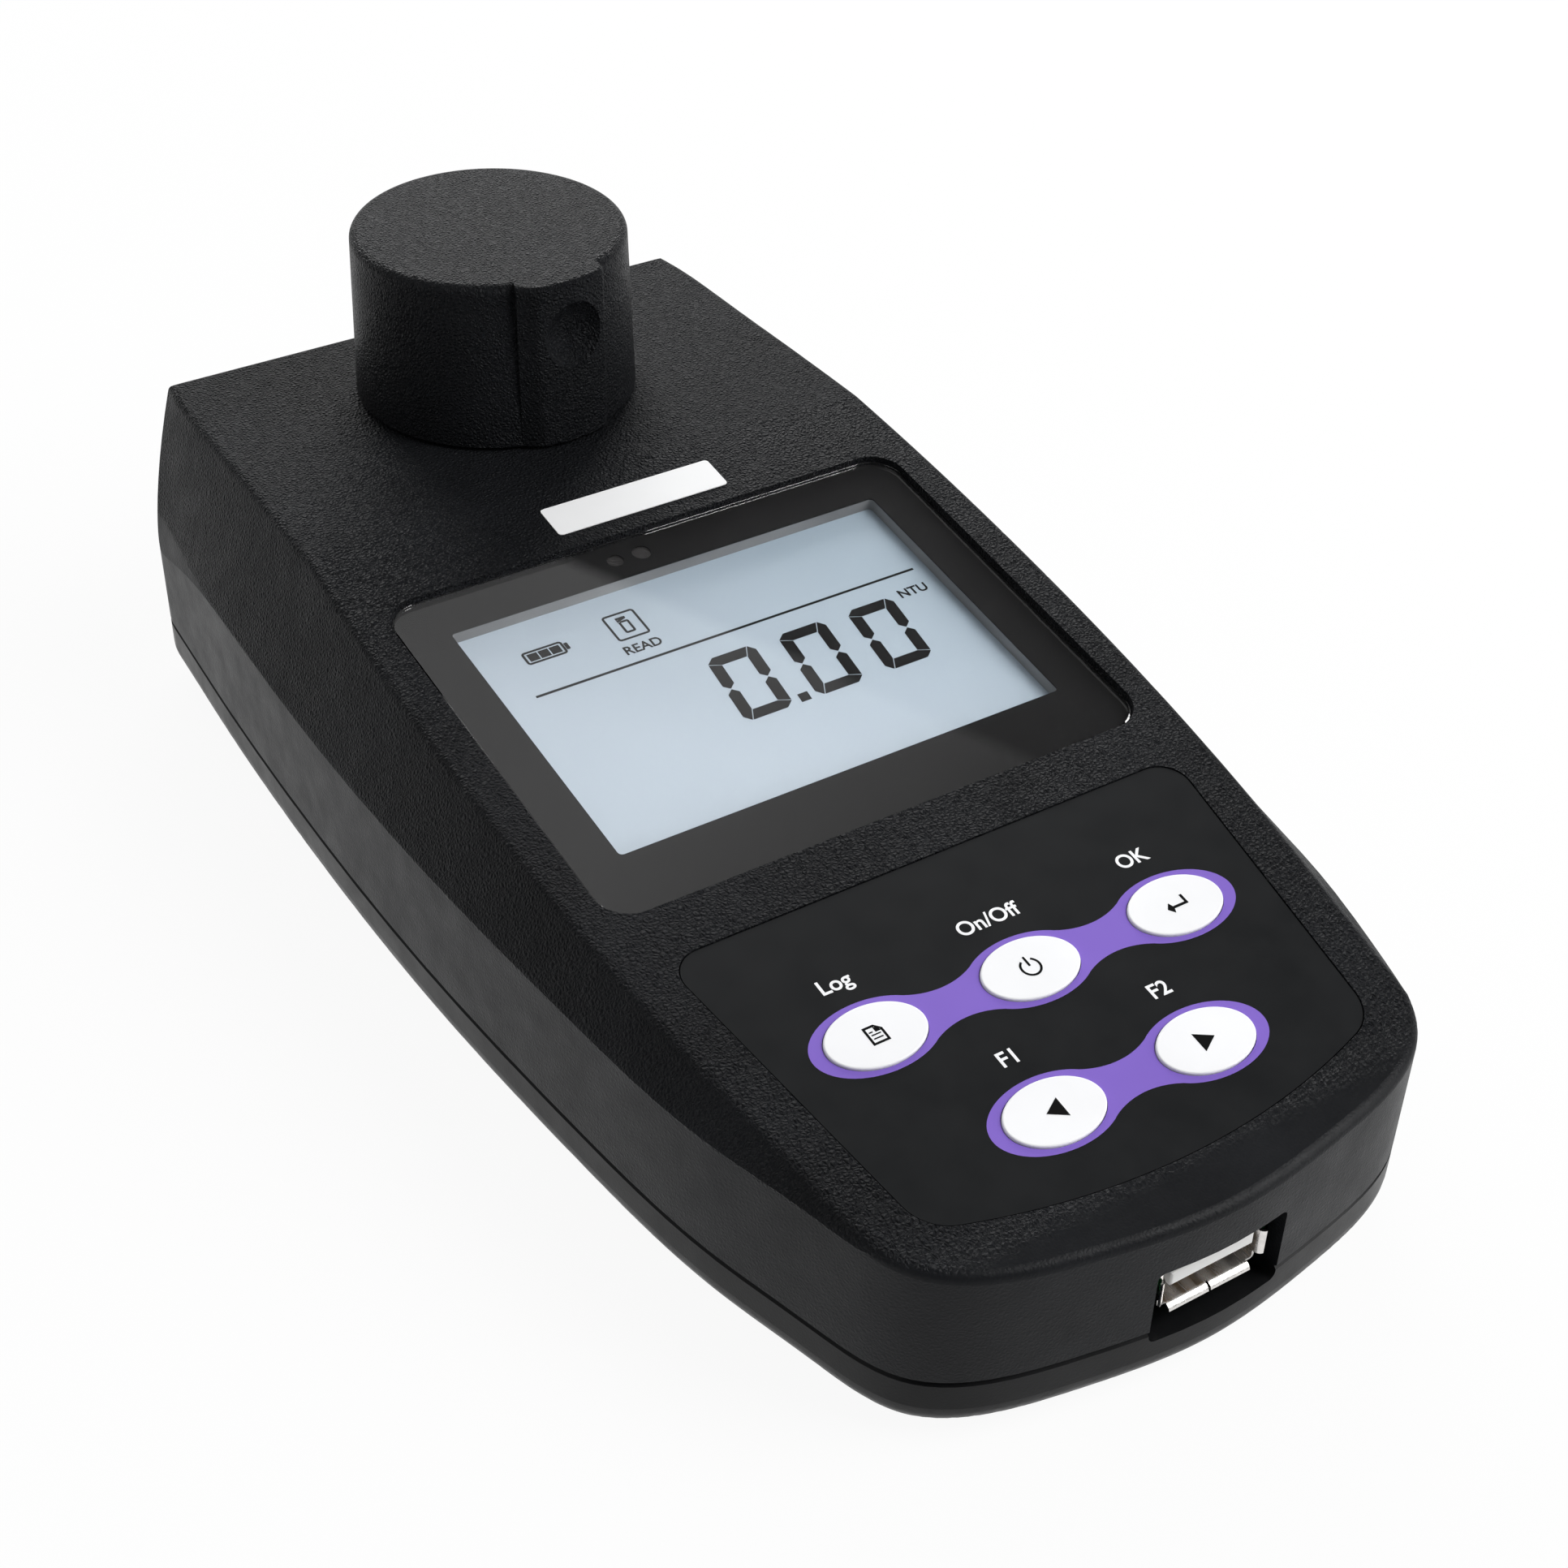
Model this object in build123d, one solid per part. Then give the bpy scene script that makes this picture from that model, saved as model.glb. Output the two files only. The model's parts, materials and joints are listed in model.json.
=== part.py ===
from build123d import *
import math
import os

# Turbidity meter, in millimetres. The origin lies on the table under the middle of the
# housing: +X to the right, +Y to the rear deck with the cap, +Z up. The front wall with
# the socket faces -Y. Places on the sloping face are given as an x and a distance down
# the slope, from the crease where the level rear deck ends.

# Housing
body_length = 180.0
rear_width = 90.0
rear_corner_radius = 8.0
side_stations = ((60.0, 46.7), (29.5, 47.5), (-5.0, 46.8), (-35.0, 44.4), (-57.0, 41.2), (-70.0, 37.7))
front_corner = (33.6, -80.6)
front_shoulder = (16.0, -88.1)
foot_height = 1.2
parting_z = 9.0
deck_z = 42.1
break_y = 40.0
slope_deg = 7.85
case_wall = 2.2
floor_wall = 2.0
rim_radius = 1.2
base_edge_radius = 4.0
parting_chamfer = 0.35

# Side facets: level crease, then half widths of the crease and of the rim at each y
crease_z = 25.3
facet_stations = ((95.0, 44.6, 37.7), (60.0, 46.7, 40.1), (40.0, 47.35, 40.5), (10.0, 47.3, 41.6),
                  (-15.0, 46.2, 41.3), (-36.0, 44.3, 40.1), (-57.0, 41.2, 37.7), (-70.0, 37.7, 36.0),
                  (-80.0, 34.6, 34.3))

# Case joint
case_lip_height = 1.8
case_lip_depth = 2.6
case_lip_wall = 1.1
case_lip_gap = 0.15
case_screw_places = ((-36.0, 79.0), (36.0, 79.0), (-38.5, 38.0), (38.5, 38.0), (-30.0, -66.0), (30.0, -66.0))
case_boss_radius = 3.5
case_boss_gap = 0.2
case_post_radius = 4.6
case_post_gap = 0.1
case_screw_radius = 1.45
case_screw_head_radius = 2.8
case_screw_head_height = 2.2
case_screw_length = 12.0
case_screw_sink = 1.8
case_screw_play = 0.15
cross_width = 0.7
cross_length = 3.2
cross_depth = 1.1

# Feet
foot_places = ((-33.0, 64.0), (33.0, 64.0), (-21.0, -76.0), (21.0, -76.0))
foot_radius = 5.0
foot_sink = 0.8
foot_chamfer = 0.4

# Clearances shared by several fits
fit_gap = 0.1
screw_gap = 0.05
root = 0.5

# Display
window_width = 73.6
window_length = 57.0
window_middle = 40.9
window_corner_radius = 4.2
window_thickness = 1.0
window_sink = 0.6
window_gap = 0.25
window_ledge = 0.85
window_bevel = 0.2
mask_thickness = 0.15
mask_margin = 0.2
view_width = 61.3
view_length = 41.3
view_middle = 39.6
view_corner_radius = 0.6
bezel_wall = 1.8
bezel_rear_wall = 4.6
bezel_flange = 1.2
bezel_flange_thickness = 0.7
bezel_flange_gap = 0.05
lcd_side_lap = 2.5
lcd_rear_lap = 0.3
lcd_front_lap = 3.0
lcd_thickness = 2.0
backlight_thickness = 2.6
backlight_inset = 1.0
board_thickness = 1.6
display_board_width = 78.0
display_board_length = 60.0
display_board_middle = 39.9
display_screw_x = 36.2
display_screw_reach = 27.4
eye_down = 15.5
sensor_x = -5.95
sensor_radius = 1.1
status_x = -2.2
status_radius = 1.25

# Keypad
keypad_top = 77.0
keypad_front = 123.9
keypad_top_width = 69.6
keypad_taper = 0.127
keypad_front_radius = 82.0
keypad_top_corner = 3.5
keypad_front_corner = 5.5
keypad_sink = 0.1
keypad_thickness = 0.5
keypad_gap = 0.15
key_half_width = 6.1
key_half_length = 4.08
key_rise = 0.25
key_edge_radius = 0.2
key_gap = 0.1
key_play = 0.05
key_travel = 0.4
key_pitch = 20.2
key_row_rear = 95.95
key_row_front = 113.0
key_row_shift = 0.7
key_flange = 0.8
key_flange_thickness = 0.55
key_hole_gap = 0.4
key_stem_radius = 1.6
key_stem_length = 2.3
surround_width = 1.8
surround_length = 0.76
surround_neck = 2.32
surround_neck_reach = 3.45
surround_neck_inset = 5.5
surround_thickness = 0.15
switch_size = 6.0
switch_height = 2.0
switch_plunger_height = 0.5
switch_plunger_radius = 1.75
switch_gap = 0.1
keypad_board_width = 50.0
keypad_board_length = 36.0
keypad_board_middle = 100.5
keypad_screw_x = 22.0
keypad_screw_reach = 15.6

# Board screws
board_screw_radius = 1.1
board_screw_play = 0.3
board_screw_head_radius = 2.2
board_screw_head_height = 1.4
board_screw_length = 5.0
board_boss_radius = 2.5

# Main board
main_board_top = 10.3
main_board_half_width = 24.5
main_board_nose_half_width = 12.5
main_board_rear = -34.0
main_board_shoulder = -73.0
main_board_front = -84.5
main_screw_places = ((-20.0, -38.5), (20.0, -38.5), (-20.0, -70.0), (20.0, -70.0))
main_post_radius = 3.2
chip_specs = ((0.0, -60.0, 12.0, 12.0, 1.4), (-13.0, -52.0, 6.0, 8.0, 1.2),
              (13.5, -54.0, 5.0, 6.0, 1.2), (10.0, -68.5, 7.0, 3.6, 2.2))
socket_width = 14.0
socket_length = 4.0
socket_height = 2.5
ribbon_thickness = 0.3
ribbon_width = 10.0
ribbon_bend = 1.1
ribbon_level = 15.6
display_ribbon_x = 8.0
display_ribbon_down = 67.5
display_ribbon_y = -38.0
keypad_ribbon_x = -8.0
keypad_ribbon_down = 90.0
keypad_ribbon_y = -44.0

# Socket in the front wall
usb_width = 13.1
usb_height = 5.8
usb_length = 12.7
usb_metal = 0.3
usb_corner_radius = 0.6
usb_setback = 1.4
usb_lip_radius = 0.9
usb_lip_angle = 80.0
usb_lower_lip_length = 5.3
usb_lower_lip_split = 0.3
usb_side_lip_length = 3.4
usb_tongue_width = 11.1
usb_tongue_height = 1.84
usb_tongue_drop = 0.46
usb_tongue_setback = 0.4
usb_block_length = 4.2
usb_contact_width = 1.0
usb_contact_thickness = 0.2
usb_contact_length = 6.4
usb_contact_setback = 0.9
usb_contact_places = (-3.5, -1.0, 1.0, 3.5)
usb_cut_width = 17.2
usb_cut_height = 10.4
usb_cut_drop = 0.4
usb_cut_radius = 0.9
usb_cut_depth = 12.0

# Sample well
well_y = 68.0
well_bore_radius = 12.7
well_floor_thickness = 4.0
well_body_radius = 16.5
well_body_gap = 0.2
well_neck_radius = 14.8
well_neck_gap = 0.15
well_neck_rise = 6.0
well_mouth_chamfer = 0.6
well_seat_wall = 1.4
well_seat_height = 4.0
well_ear_x = 23.0
well_ear_radius = 3.6
well_ear_thickness = 2.2
well_boss_length = 6.0
optic_z = 20.0
port_radius = 2.4
gasket_inner_radius = 15.8
gasket_outer_radius = 17.9
gasket_thickness = 0.9
gasket_proud = 0.5

# Light source and detectors, along each beam from the outside of the well
lamp_side = 180.0
transmission_side = 0.0
scatter_side = -90.0
holder_radius = 5.0
holder_bore_radius = 3.1
holder_length = 13.0
holder_stop_length = 2.5
lens_radius = 3.0
lens_thickness = 2.0
lamp_gap = 1.0
lamp_radius = 2.5
lamp_length = 6.0
lamp_flange_radius = 2.95
lamp_flange_length = 1.0
detector_radius = 2.95
detector_length = 3.2
pin_radius = 0.25
pin_hole_radius = 0.45
pin_spread = 1.27
pin_tail = 1.3
optics_board_width = 50.0
optics_board_height = 20.0
optics_board_z = 9.0
optics_rail_width = 4.0
optics_rail_wall = 1.4
optics_rail_height = 7.0

# Light shield cap
cap_radius = 18.95
cap_top_radius = 18.2
cap_height = 22.75
cap_gap = 0.05
cap_wall = 2.2
cap_top_wall = 2.3
cap_edge_radius = 1.3
cap_pad_rise = 1.0
cap_pad_left = (17.0, 9.5)
cap_pad_right = (22.5, 20.0)
cap_pad_left_radius = 2.0
cap_pad_right_radius = 0.8
cap_pad_edge_radius = 0.7
cap_dimple_radius = 4.6
cap_dimple_sphere = 6.0
cap_dimple_drop = 7.7
cap_dimple_turn = 5.1
liner_wall = 1.0
liner_gap = 0.02
liner_length = 17.0

# Label place on the sloping face
label_width = 24.8
label_length = 5.5
label_x = 1.8
label_down = 6.7
label_thickness = 0.12

# Batteries
cell_radius = 7.25
cell_length = 50.5
cell_nub_radius = 2.75
cell_nub_length = 1.3
cell_pitch = 15.0
cell_count = 3
cell_gap = 0.3
contact_thickness = 0.4
contact_width = 11.0
contact_height = 10.0
spring_radius = 3.6
spring_wire_radius = 0.35
spring_length = 4.6
spring_turns = 3.5
tray_wall = 1.6
tray_margin = 0.3
door_gap = 0.25
door_tab_x = 17.0
door_tab_width = 8.0
door_tab_reach = 1.5
door_tab_thickness = 1.0
door_tab_lift = 0.1
door_tab_slot_gap = 0.5
door_latch_width = 12.0
door_latch_height = 1.6
door_latch_thickness = 1.2
door_latch_inset = 0.2
door_grip_radius = 5.0
door_grip_depth = 0.8
door_grip_inset = 8.0

# Worked out from the sizes above
slope = math.radians(slope_deg)
rear_y = body_length / 2
front_y = -body_length / 2
base_z = foot_height
floor_z = base_z + floor_wall
case_screw_seat_z = base_z + case_screw_sink + case_screw_head_height
cap_z = deck_z + gasket_proud + cap_gap
cap_top_z = cap_z + cap_height
main_board_z = main_board_top - board_thickness
window_seat = window_sink + window_thickness + mask_thickness
deck_wall = window_seat + window_ledge
lcd_depth = deck_wall + bezel_flange_gap + bezel_flange_thickness
lcd_width = view_width + 2 * lcd_side_lap
lcd_length = view_length + lcd_rear_lap + lcd_front_lap
lcd_middle = view_middle + (lcd_front_lap - lcd_rear_lap) / 2
backlight_depth = lcd_depth + lcd_thickness
display_board_depth = backlight_depth + backlight_thickness
key_flange_depth = keypad_sink + keypad_thickness + key_play
key_stem_depth = key_flange_depth + key_flange_thickness + key_stem_length
switch_depth = key_stem_depth + key_travel + switch_gap
keypad_board_depth = switch_depth + switch_plunger_height + switch_height
usb_middle_z = main_board_top + usb_height / 2
usb_shell_y = front_y + usb_setback + usb_lip_radius
usb_tongue_front = front_y + usb_setback + usb_tongue_setback
usb_tongue_top = main_board_top + usb_height - usb_metal - usb_tongue_drop
well_floor_z = floor_z + well_floor_thickness
well_neck_z = deck_z + well_neck_rise
well_ear_top = deck_z - deck_wall - well_boss_length
optics_board_back = well_y - well_body_radius - holder_length - fit_gap
optics_board_front = optics_board_back - board_thickness
pin_end = holder_length + fit_gap + board_thickness + pin_tail
cell_z = floor_z + cell_gap + cell_radius
tray_inner_width = cell_length + spring_length + 2 * contact_thickness
tray_inner_length = cell_count * cell_pitch + 2 * tray_margin
tray_roof_z = cell_z + cell_radius + cell_gap
door_width = tray_inner_width - 2 * door_gap
door_length = tray_inner_length - 2 * door_gap


def deck_height(y):
    """Height of the top surface of the housing at y."""
    return min(deck_z, deck_z - (break_y - y) * math.tan(slope))


def face_plane(depth=0.0):
    """Plane of the sloping face: local x is +X, local y runs up the slope from the crease."""
    origin = (0, break_y + depth * math.sin(slope), deck_z - depth * math.cos(slope))
    return Plane(origin=origin, x_dir=(1, 0, 0), z_dir=(0, -math.sin(slope), math.cos(slope)))


def sunk(sketch, depth, thickness):
    """Solid of a sketch on the slope whose upper face is depth below the surface."""
    return extrude(face_plane(depth) * sketch, amount=-thickness)


def spot(x, down, sketch):
    """A sketch moved to a place on the sloping face."""
    return Pos(x, -down) * sketch


def column(radius, low, high, place=(0.0, 0.0)):
    """Upright cylinder between two heights."""
    return extrude(Pos(*place, low) * Circle(radius), amount=high - low)


def block(x_range, y_range, z_range):
    """Box between two corners."""
    ranges = (x_range, y_range, z_range)
    middle = [(low + high) / 2 for low, high in ranges]
    return Pos(*middle) * Box(*[high - low for low, high in ranges])


def joined(pieces):
    """One shape from several that meet."""
    total = pieces[0]
    for piece in pieces[1:]:
        total = total + piece
    return total


def group(pieces):
    """Several solids that stay separate, as one shape."""
    return Compound([solid for piece in pieces for solid in piece.solids()])


def pair(piece):
    """A piece and its mirror image across the middle of the housing."""
    return [piece, mirror(piece, about=Plane.YZ)]


def housing_outline(inset=0.0):
    """Plan of the housing: square rear end, barrel sides, rounded nose."""
    right = [(rear_width / 2, rear_y)] + [(x, y) for y, x in side_stations]
    right += [front_corner, front_shoulder, (0, front_y)]
    left = [(-x, y) for x, y in reversed(right[:-1])]
    points = [Vector(x, y) for x, y in right + left]
    tangents = [(0.05, -1), (0.05, 1)]
    side = Spline(*points, tangents=tangents)
    if inset:
        inward = [side.tangent_at(side.param_at_point(p)).cross(Vector(0, 0, 1)) for p in points]
        points = [p + across * inset for p, across in zip(points, inward)]
        for end in (0, -1):
            points[end] = Vector(points[end].X, rear_y - inset)
        side = Spline(*points, tangents=tangents)
    plan = make_face(side + Line(points[-1], points[0]))
    rear = [v for v in plan.vertices() if v.Y > rear_y - inset - 1]
    return fillet(rear, rear_corner_radius - inset)


def under_deck(drop=0.0):
    """Everything below the bent top surface, lowered by drop."""
    margin = 10.0
    far = front_y - margin
    low = deck_z - (break_y - far) * math.tan(slope) - drop / math.cos(slope)
    bend = break_y - drop * math.tan(slope / 2)
    points = ((rear_y + margin, 0), (rear_y + margin, deck_z - drop), (bend, deck_z - drop), (far, low), (far, 0))
    profile = make_face(Polyline(*[(0, y, z) for y, z in points], close=True))
    return extrude(profile, amount=rear_width, dir=(1, 0, 0), both=True)


def facet_cutter(inset=0.0):
    """Wedge outside the right-hand facet. Its inner face holds the crease and the rim."""
    below, above, outside = 8.0, 6.0, rear_width
    sections = []
    for y, crease_x, rim_x in facet_stations:
        run = rim_x - crease_x
        rise = max(deck_height(y) - crease_z, rim_radius)
        reach = math.hypot(run, rise)
        low = (crease_x - inset - run / reach * below, crease_z - rise / reach * below)
        high = (rim_x - inset + run / reach * above, crease_z + rise + rise / reach * above)
        corners = (low, high, (outside, high[1]), (outside, low[1]))
        sections.append(make_face(Polyline(*[(x, y, z) for x, z in corners], close=True)))
    return loft(sections)


def upper_form(inset=0.0, drop=0.0):
    """Upper half of the housing as a full body, without its rounded edges."""
    form = extrude(Pos(0, 0, parting_z) * housing_outline(inset), amount=deck_z) & under_deck(drop)
    for cutter in pair(facet_cutter(inset)):
        form -= cutter
    return form


def on_rim(edge):
    """True for an edge where the top surface meets the walls."""
    middle = edge.position_at(0.5)
    return abs(middle.Z - deck_height(middle.Y)) < 0.02 and abs(middle.Y - break_y) > 0.01


def keypad_outline(growth=0.0):
    """Tapered keypad field with a curved front edge."""
    half_top = keypad_top_width / 2
    half_front = half_top - keypad_taper * (keypad_front - keypad_top)
    centre = keypad_front - keypad_front_radius
    reach = centre + math.sqrt(keypad_front_radius ** 2 - half_front ** 2)
    half_end = half_top - keypad_taper * (reach - keypad_top)
    sides = Polyline((-half_end, -reach), (-half_top, -keypad_top), (half_top, -keypad_top), (half_end, -reach))
    field = make_face(sides + ThreePointArc((half_end, -reach), (0, -keypad_front), (-half_end, -reach)))
    field = fillet([v for v in field.vertices() if v.Y > -keypad_top - 1], keypad_top_corner)
    field = fillet([v for v in field.vertices() if abs(v.Y + reach) < 0.01], keypad_front_corner)
    return offset(field, amount=growth) if growth else field


def key_rows():
    """Slope places of the keys, left to right, rear row first."""
    front_x = key_row_shift - key_pitch / 2
    rear = [(i * key_pitch, key_row_rear) for i in (-1, 0, 1)]
    front = [(front_x + i * key_pitch, key_row_front) for i in (0, 1)]
    return rear, front


def key_oval(place, wider=0.0, longer=0.0):
    """Oval of a key, grown across and along the slope."""
    return spot(*place, Ellipse(key_half_width + wider, key_half_length + longer))


def all_key_ovals(growth):
    rear, front = key_rows()
    return joined([key_oval(place, growth, growth) for place in rear + front])


def surround_band(row):
    """Coloured band round a row of keys, joined between them by waisted necks."""
    pieces = [key_oval(place, surround_width, surround_length) for place in row]
    half = key_pitch / 2 - surround_neck_inset
    for (x, down), _ in zip(row, row[1:]):
        upper = ThreePointArc((-half, surround_neck_reach), (0, surround_neck), (half, surround_neck_reach))
        lower = ThreePointArc((half, -surround_neck_reach), (0, -surround_neck), (-half, -surround_neck_reach))
        ends = Line(upper @ 1, lower @ 0) + Line(lower @ 1, upper @ 0)
        pieces.append(spot(x + key_pitch / 2, down, make_face(upper + ends + lower)))
    return joined(pieces)


def window_outline(growth=0.0):
    """Outline of the display pane."""
    width = window_width + 2 * growth
    length = window_length + 2 * growth
    return spot(0, window_middle, RectangleRounded(width, length, window_corner_radius + growth))


def view_outline():
    """Part of the display that shows."""
    return spot(0, view_middle, RectangleRounded(view_width, view_length, view_corner_radius))


def eyes(growth=0.0):
    """Outlines of the light sensor and the status light, behind the view."""
    sensor = spot(sensor_x, eye_down, Circle(sensor_radius + growth))
    status = spot(status_x, eye_down, Circle(status_radius + growth))
    return [sensor, status]


def bezel_outline(growth=0.0):
    """Outer outline of the display frame that fills the opening under the pane."""
    rear = view_middle - view_length / 2 - bezel_rear_wall - growth
    front = view_middle + view_length / 2 + bezel_wall + growth
    width = view_width + 2 * (bezel_wall + growth)
    return spot(0, (rear + front) / 2, Rectangle(width, front - rear))


def corner_places(middle, x, reach):
    """Four places round the middle of a board on the slope."""
    return [(side * x, middle + end * reach) for side in (-1, 1) for end in (-1, 1)]


def display_screw_places():
    return corner_places(display_board_middle, display_screw_x, display_screw_reach)


def keypad_screw_places():
    return corner_places(keypad_board_middle, keypad_screw_x, keypad_screw_reach)


def slope_board(width, length, middle, depth, screw_places):
    """Board parallel to the sloping face, with its screw holes."""
    hole = Circle(board_screw_radius + board_screw_play)
    outline = spot(0, middle, RectangleRounded(width, length, 1.5))
    return sunk(outline - joined([spot(*place, hole) for place in screw_places]), depth, board_thickness)


def slope_screw(place, board_depth):
    """Screw that holds a board on the slope, its head under the board."""
    under = board_depth + board_thickness
    shank = sunk(spot(*place, Circle(board_screw_radius)), under - board_screw_length, board_screw_length)
    return shank + sunk(spot(*place, Circle(board_screw_head_radius)), under, board_screw_head_height)


def slope_bosses(screw_places, board_depth):
    """Bosses that hang from the top wall to a board, and their screw holes."""
    start = deck_wall - root
    grip = board_screw_length - board_thickness + root
    bosses = [sunk(spot(*place, Circle(board_boss_radius)), start, board_depth - start) for place in screw_places]
    hole = Circle(board_screw_radius + screw_gap)
    holes = [sunk(spot(*place, hole), board_depth - grip, grip + 1) for place in screw_places]
    return bosses, holes


def usb_cut():
    """Prism of the opening in the front wall."""
    middle = usb_middle_z - usb_cut_drop
    shape = Pos(0, middle) * RectangleRounded(usb_cut_width, usb_cut_height, usb_cut_radius)
    return extrude(Plane.XZ.offset(-front_y - usb_cut_depth) * shape, amount=2 * usb_cut_depth)


def beam_plane(side, distance=0.0):
    """Plane across a beam at a distance from the outside of the well, facing outwards."""
    angle = math.radians(side)
    reach = well_body_radius + distance
    origin = (reach * math.cos(angle), well_y + reach * math.sin(angle), optic_z)
    x_dir = (-math.sin(angle), math.cos(angle), 0)
    return Plane(origin=origin, x_dir=x_dir, z_dir=(math.cos(angle), math.sin(angle), 0))


def rod(side, radius, start, end, offset_x=0.0):
    """Round bar along a beam."""
    return extrude(beam_plane(side, start) * Pos(offset_x, 0) * Circle(radius), amount=end - start)


def pins(side, start):
    """Two leads that leave a lamp or a detector."""
    return joined([rod(side, pin_radius, start, pin_end, x) for x in (-pin_spread, pin_spread)])


def upper_case():
    shell = upper_form()
    shell = fillet([e for e in shell.edges() if on_rim(e)], rim_radius)
    shell = chamfer([e for e in shell.edges() if e.bounding_box().max.Z < parting_z + 0.01], parting_chamfer)
    shell -= upper_form(case_wall, deck_wall)
    inside = upper_form(case_wall - root, deck_wall - root)
    display_bosses, display_holes = slope_bosses(display_screw_places(), display_board_depth)
    keypad_bosses, keypad_holes = slope_bosses(keypad_screw_places(), keypad_board_depth)
    posts = [column(case_boss_radius, parting_z, deck_z, place) for place in case_screw_places]
    posts += [column(well_ear_radius, well_ear_top, deck_z, (x, well_y)) for x in (-well_ear_x, well_ear_x)]
    for boss in posts + display_bosses + keypad_bosses:
        shell += boss & inside
    holes = display_holes + keypad_holes
    holes += [column(case_screw_radius + screw_gap, parting_z - 1, case_screw_seat_z + case_screw_length + 1, place)
              for place in case_screw_places]
    holes += [column(board_screw_radius + screw_gap, well_ear_top - 1, well_ear_top + board_screw_length, (x, well_y))
              for x in (-well_ear_x, well_ear_x)]
    holes.append(sunk(window_outline(window_gap), -1, window_seat + 1))
    holes.append(sunk(bezel_outline(fit_gap), 0, deck_wall + 1))
    holes.append(sunk(keypad_outline(keypad_gap), -1, keypad_sink + keypad_thickness + 1))
    holes.append(sunk(all_key_ovals(key_flange + key_hole_gap), 0, deck_wall + 1))
    under_skin = deck_z - deck_wall - 1
    holes.append(column(well_neck_radius + well_neck_gap, under_skin, deck_z + 1, (0, well_y)))
    groove_z = deck_z + gasket_proud - gasket_thickness
    ring = Circle(gasket_outer_radius + fit_gap) - Circle(gasket_inner_radius - fit_gap)
    holes.append(extrude(Pos(0, well_y, groove_z) * ring, amount=gasket_thickness + 1))
    holes.append(usb_cut())
    for hole in holes:
        shell -= hole
    return shell


def lower_case():
    case = extrude(Pos(0, 0, base_z) * housing_outline(), amount=parting_z - base_z)
    case = fillet([e for e in case.edges() if e.bounding_box().max.Z < base_z + 0.01], base_edge_radius)
    case = chamfer([e for e in case.edges() if e.bounding_box().min.Z > parting_z - 0.01], parting_chamfer)
    case -= extrude(Pos(0, 0, floor_z) * housing_outline(case_wall), amount=parting_z)
    lip_inner = housing_outline(case_wall + case_lip_gap + case_lip_wall)
    lip_foot = housing_outline(case_wall - fit_gap) - lip_inner
    lip_top = housing_outline(case_wall + case_lip_gap) - lip_inner
    case += extrude(Pos(0, 0, parting_z - case_lip_depth) * lip_foot, amount=case_lip_depth - case_post_gap)
    case += extrude(Pos(0, 0, parting_z - root) * lip_top, amount=case_lip_height + root)
    case_posts = [column(case_post_radius, floor_z - root, parting_z - case_post_gap, p) for p in case_screw_places]
    board_posts = [column(main_post_radius, floor_z - root, main_board_z, p) for p in main_screw_places]
    inside = extrude(Pos(0, 0, floor_z - root) * housing_outline(case_wall - root), amount=parting_z)
    for post in case_posts + board_posts:
        case += post & inside
    for rail in optics_rails():
        case += rail
    ring = Circle(well_body_radius + fit_gap + well_seat_wall) - Circle(well_body_radius + fit_gap)
    case += extrude(Pos(0, well_y, floor_z - root) * ring, amount=well_seat_height + root)
    cuts = [column(case_screw_radius + case_screw_play, base_z - 1, parting_z + 1, p) for p in case_screw_places]
    cuts += [column(case_screw_head_radius + case_screw_play, base_z - 1, case_screw_seat_z, p)
             for p in case_screw_places]
    cuts += [column(case_boss_radius + case_boss_gap, parting_z - case_post_gap, parting_z + case_lip_height + 1, p)
             for p in case_screw_places]
    cuts += [column(board_screw_radius + screw_gap, main_board_top - board_screw_length - root, parting_z, p)
             for p in main_screw_places]
    cuts += [column(foot_radius + fit_gap, base_z - 1, base_z + foot_sink, p) for p in foot_places]
    half_width, half_length = tray_inner_width / 2, tray_inner_length / 2
    cuts.append(block((-half_width, half_width), (-half_length, half_length), (base_z - 1, floor_z + 1)))
    cuts.append(usb_cut())
    for cut in cuts:
        case -= cut
    return case


def optics_rails():
    """Two slotted posts on the floor that hold the optics board upright."""
    edge = optics_board_width / 2
    half = optics_rail_width / 2
    low = optics_board_front - fit_gap
    high = optics_board_back + fit_gap
    rail = block((edge - half, edge + half), (low - optics_rail_wall, high + optics_rail_wall),
                 (floor_z - root, optics_board_z + optics_rail_height))
    slot = block((edge - half - 1, edge + fit_gap), (low, high),
                 (optics_board_z, optics_board_z + optics_rail_height + 1))
    return pair(rail - slot)


def display_window():
    pane = sunk(window_outline(), window_sink, window_thickness)
    return chamfer(pane.faces().sort_by(Axis.Z)[-1].edges(), window_bevel)


def window_mask():
    outline = window_outline(-mask_margin) - view_outline()
    for eye in eyes():
        outline -= eye
    return sunk(outline, window_sink + window_thickness, mask_thickness)


def lcd_bezel():
    opening = joined([view_outline()] + eyes(fit_gap))
    frame = sunk(bezel_outline() - opening, window_seat, lcd_depth - window_seat)
    return frame + sunk(bezel_outline(bezel_flange) - opening, lcd_depth - bezel_flange_thickness,
                        bezel_flange_thickness)


def lcd_panel():
    return sunk(spot(0, lcd_middle, Rectangle(lcd_width, lcd_length)), lcd_depth, lcd_thickness)


def lcd_backlight():
    outline = Rectangle(lcd_width - 2 * backlight_inset, lcd_length - 2 * backlight_inset)
    return sunk(spot(0, lcd_middle, outline), backlight_depth, backlight_thickness)


def eye_body(eye):
    """Light guide that stands on the display board and ends under the pane."""
    top = window_seat + screw_gap
    return sunk(eye, top, display_board_depth - top)


def keypad_overlay():
    holes = all_key_ovals(key_gap)
    sheet = sunk(keypad_outline() - holes, keypad_sink, keypad_thickness)
    for row in key_rows():
        sheet -= sunk(surround_band(row), keypad_sink - 1, surround_thickness + 1)
    return sheet


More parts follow.
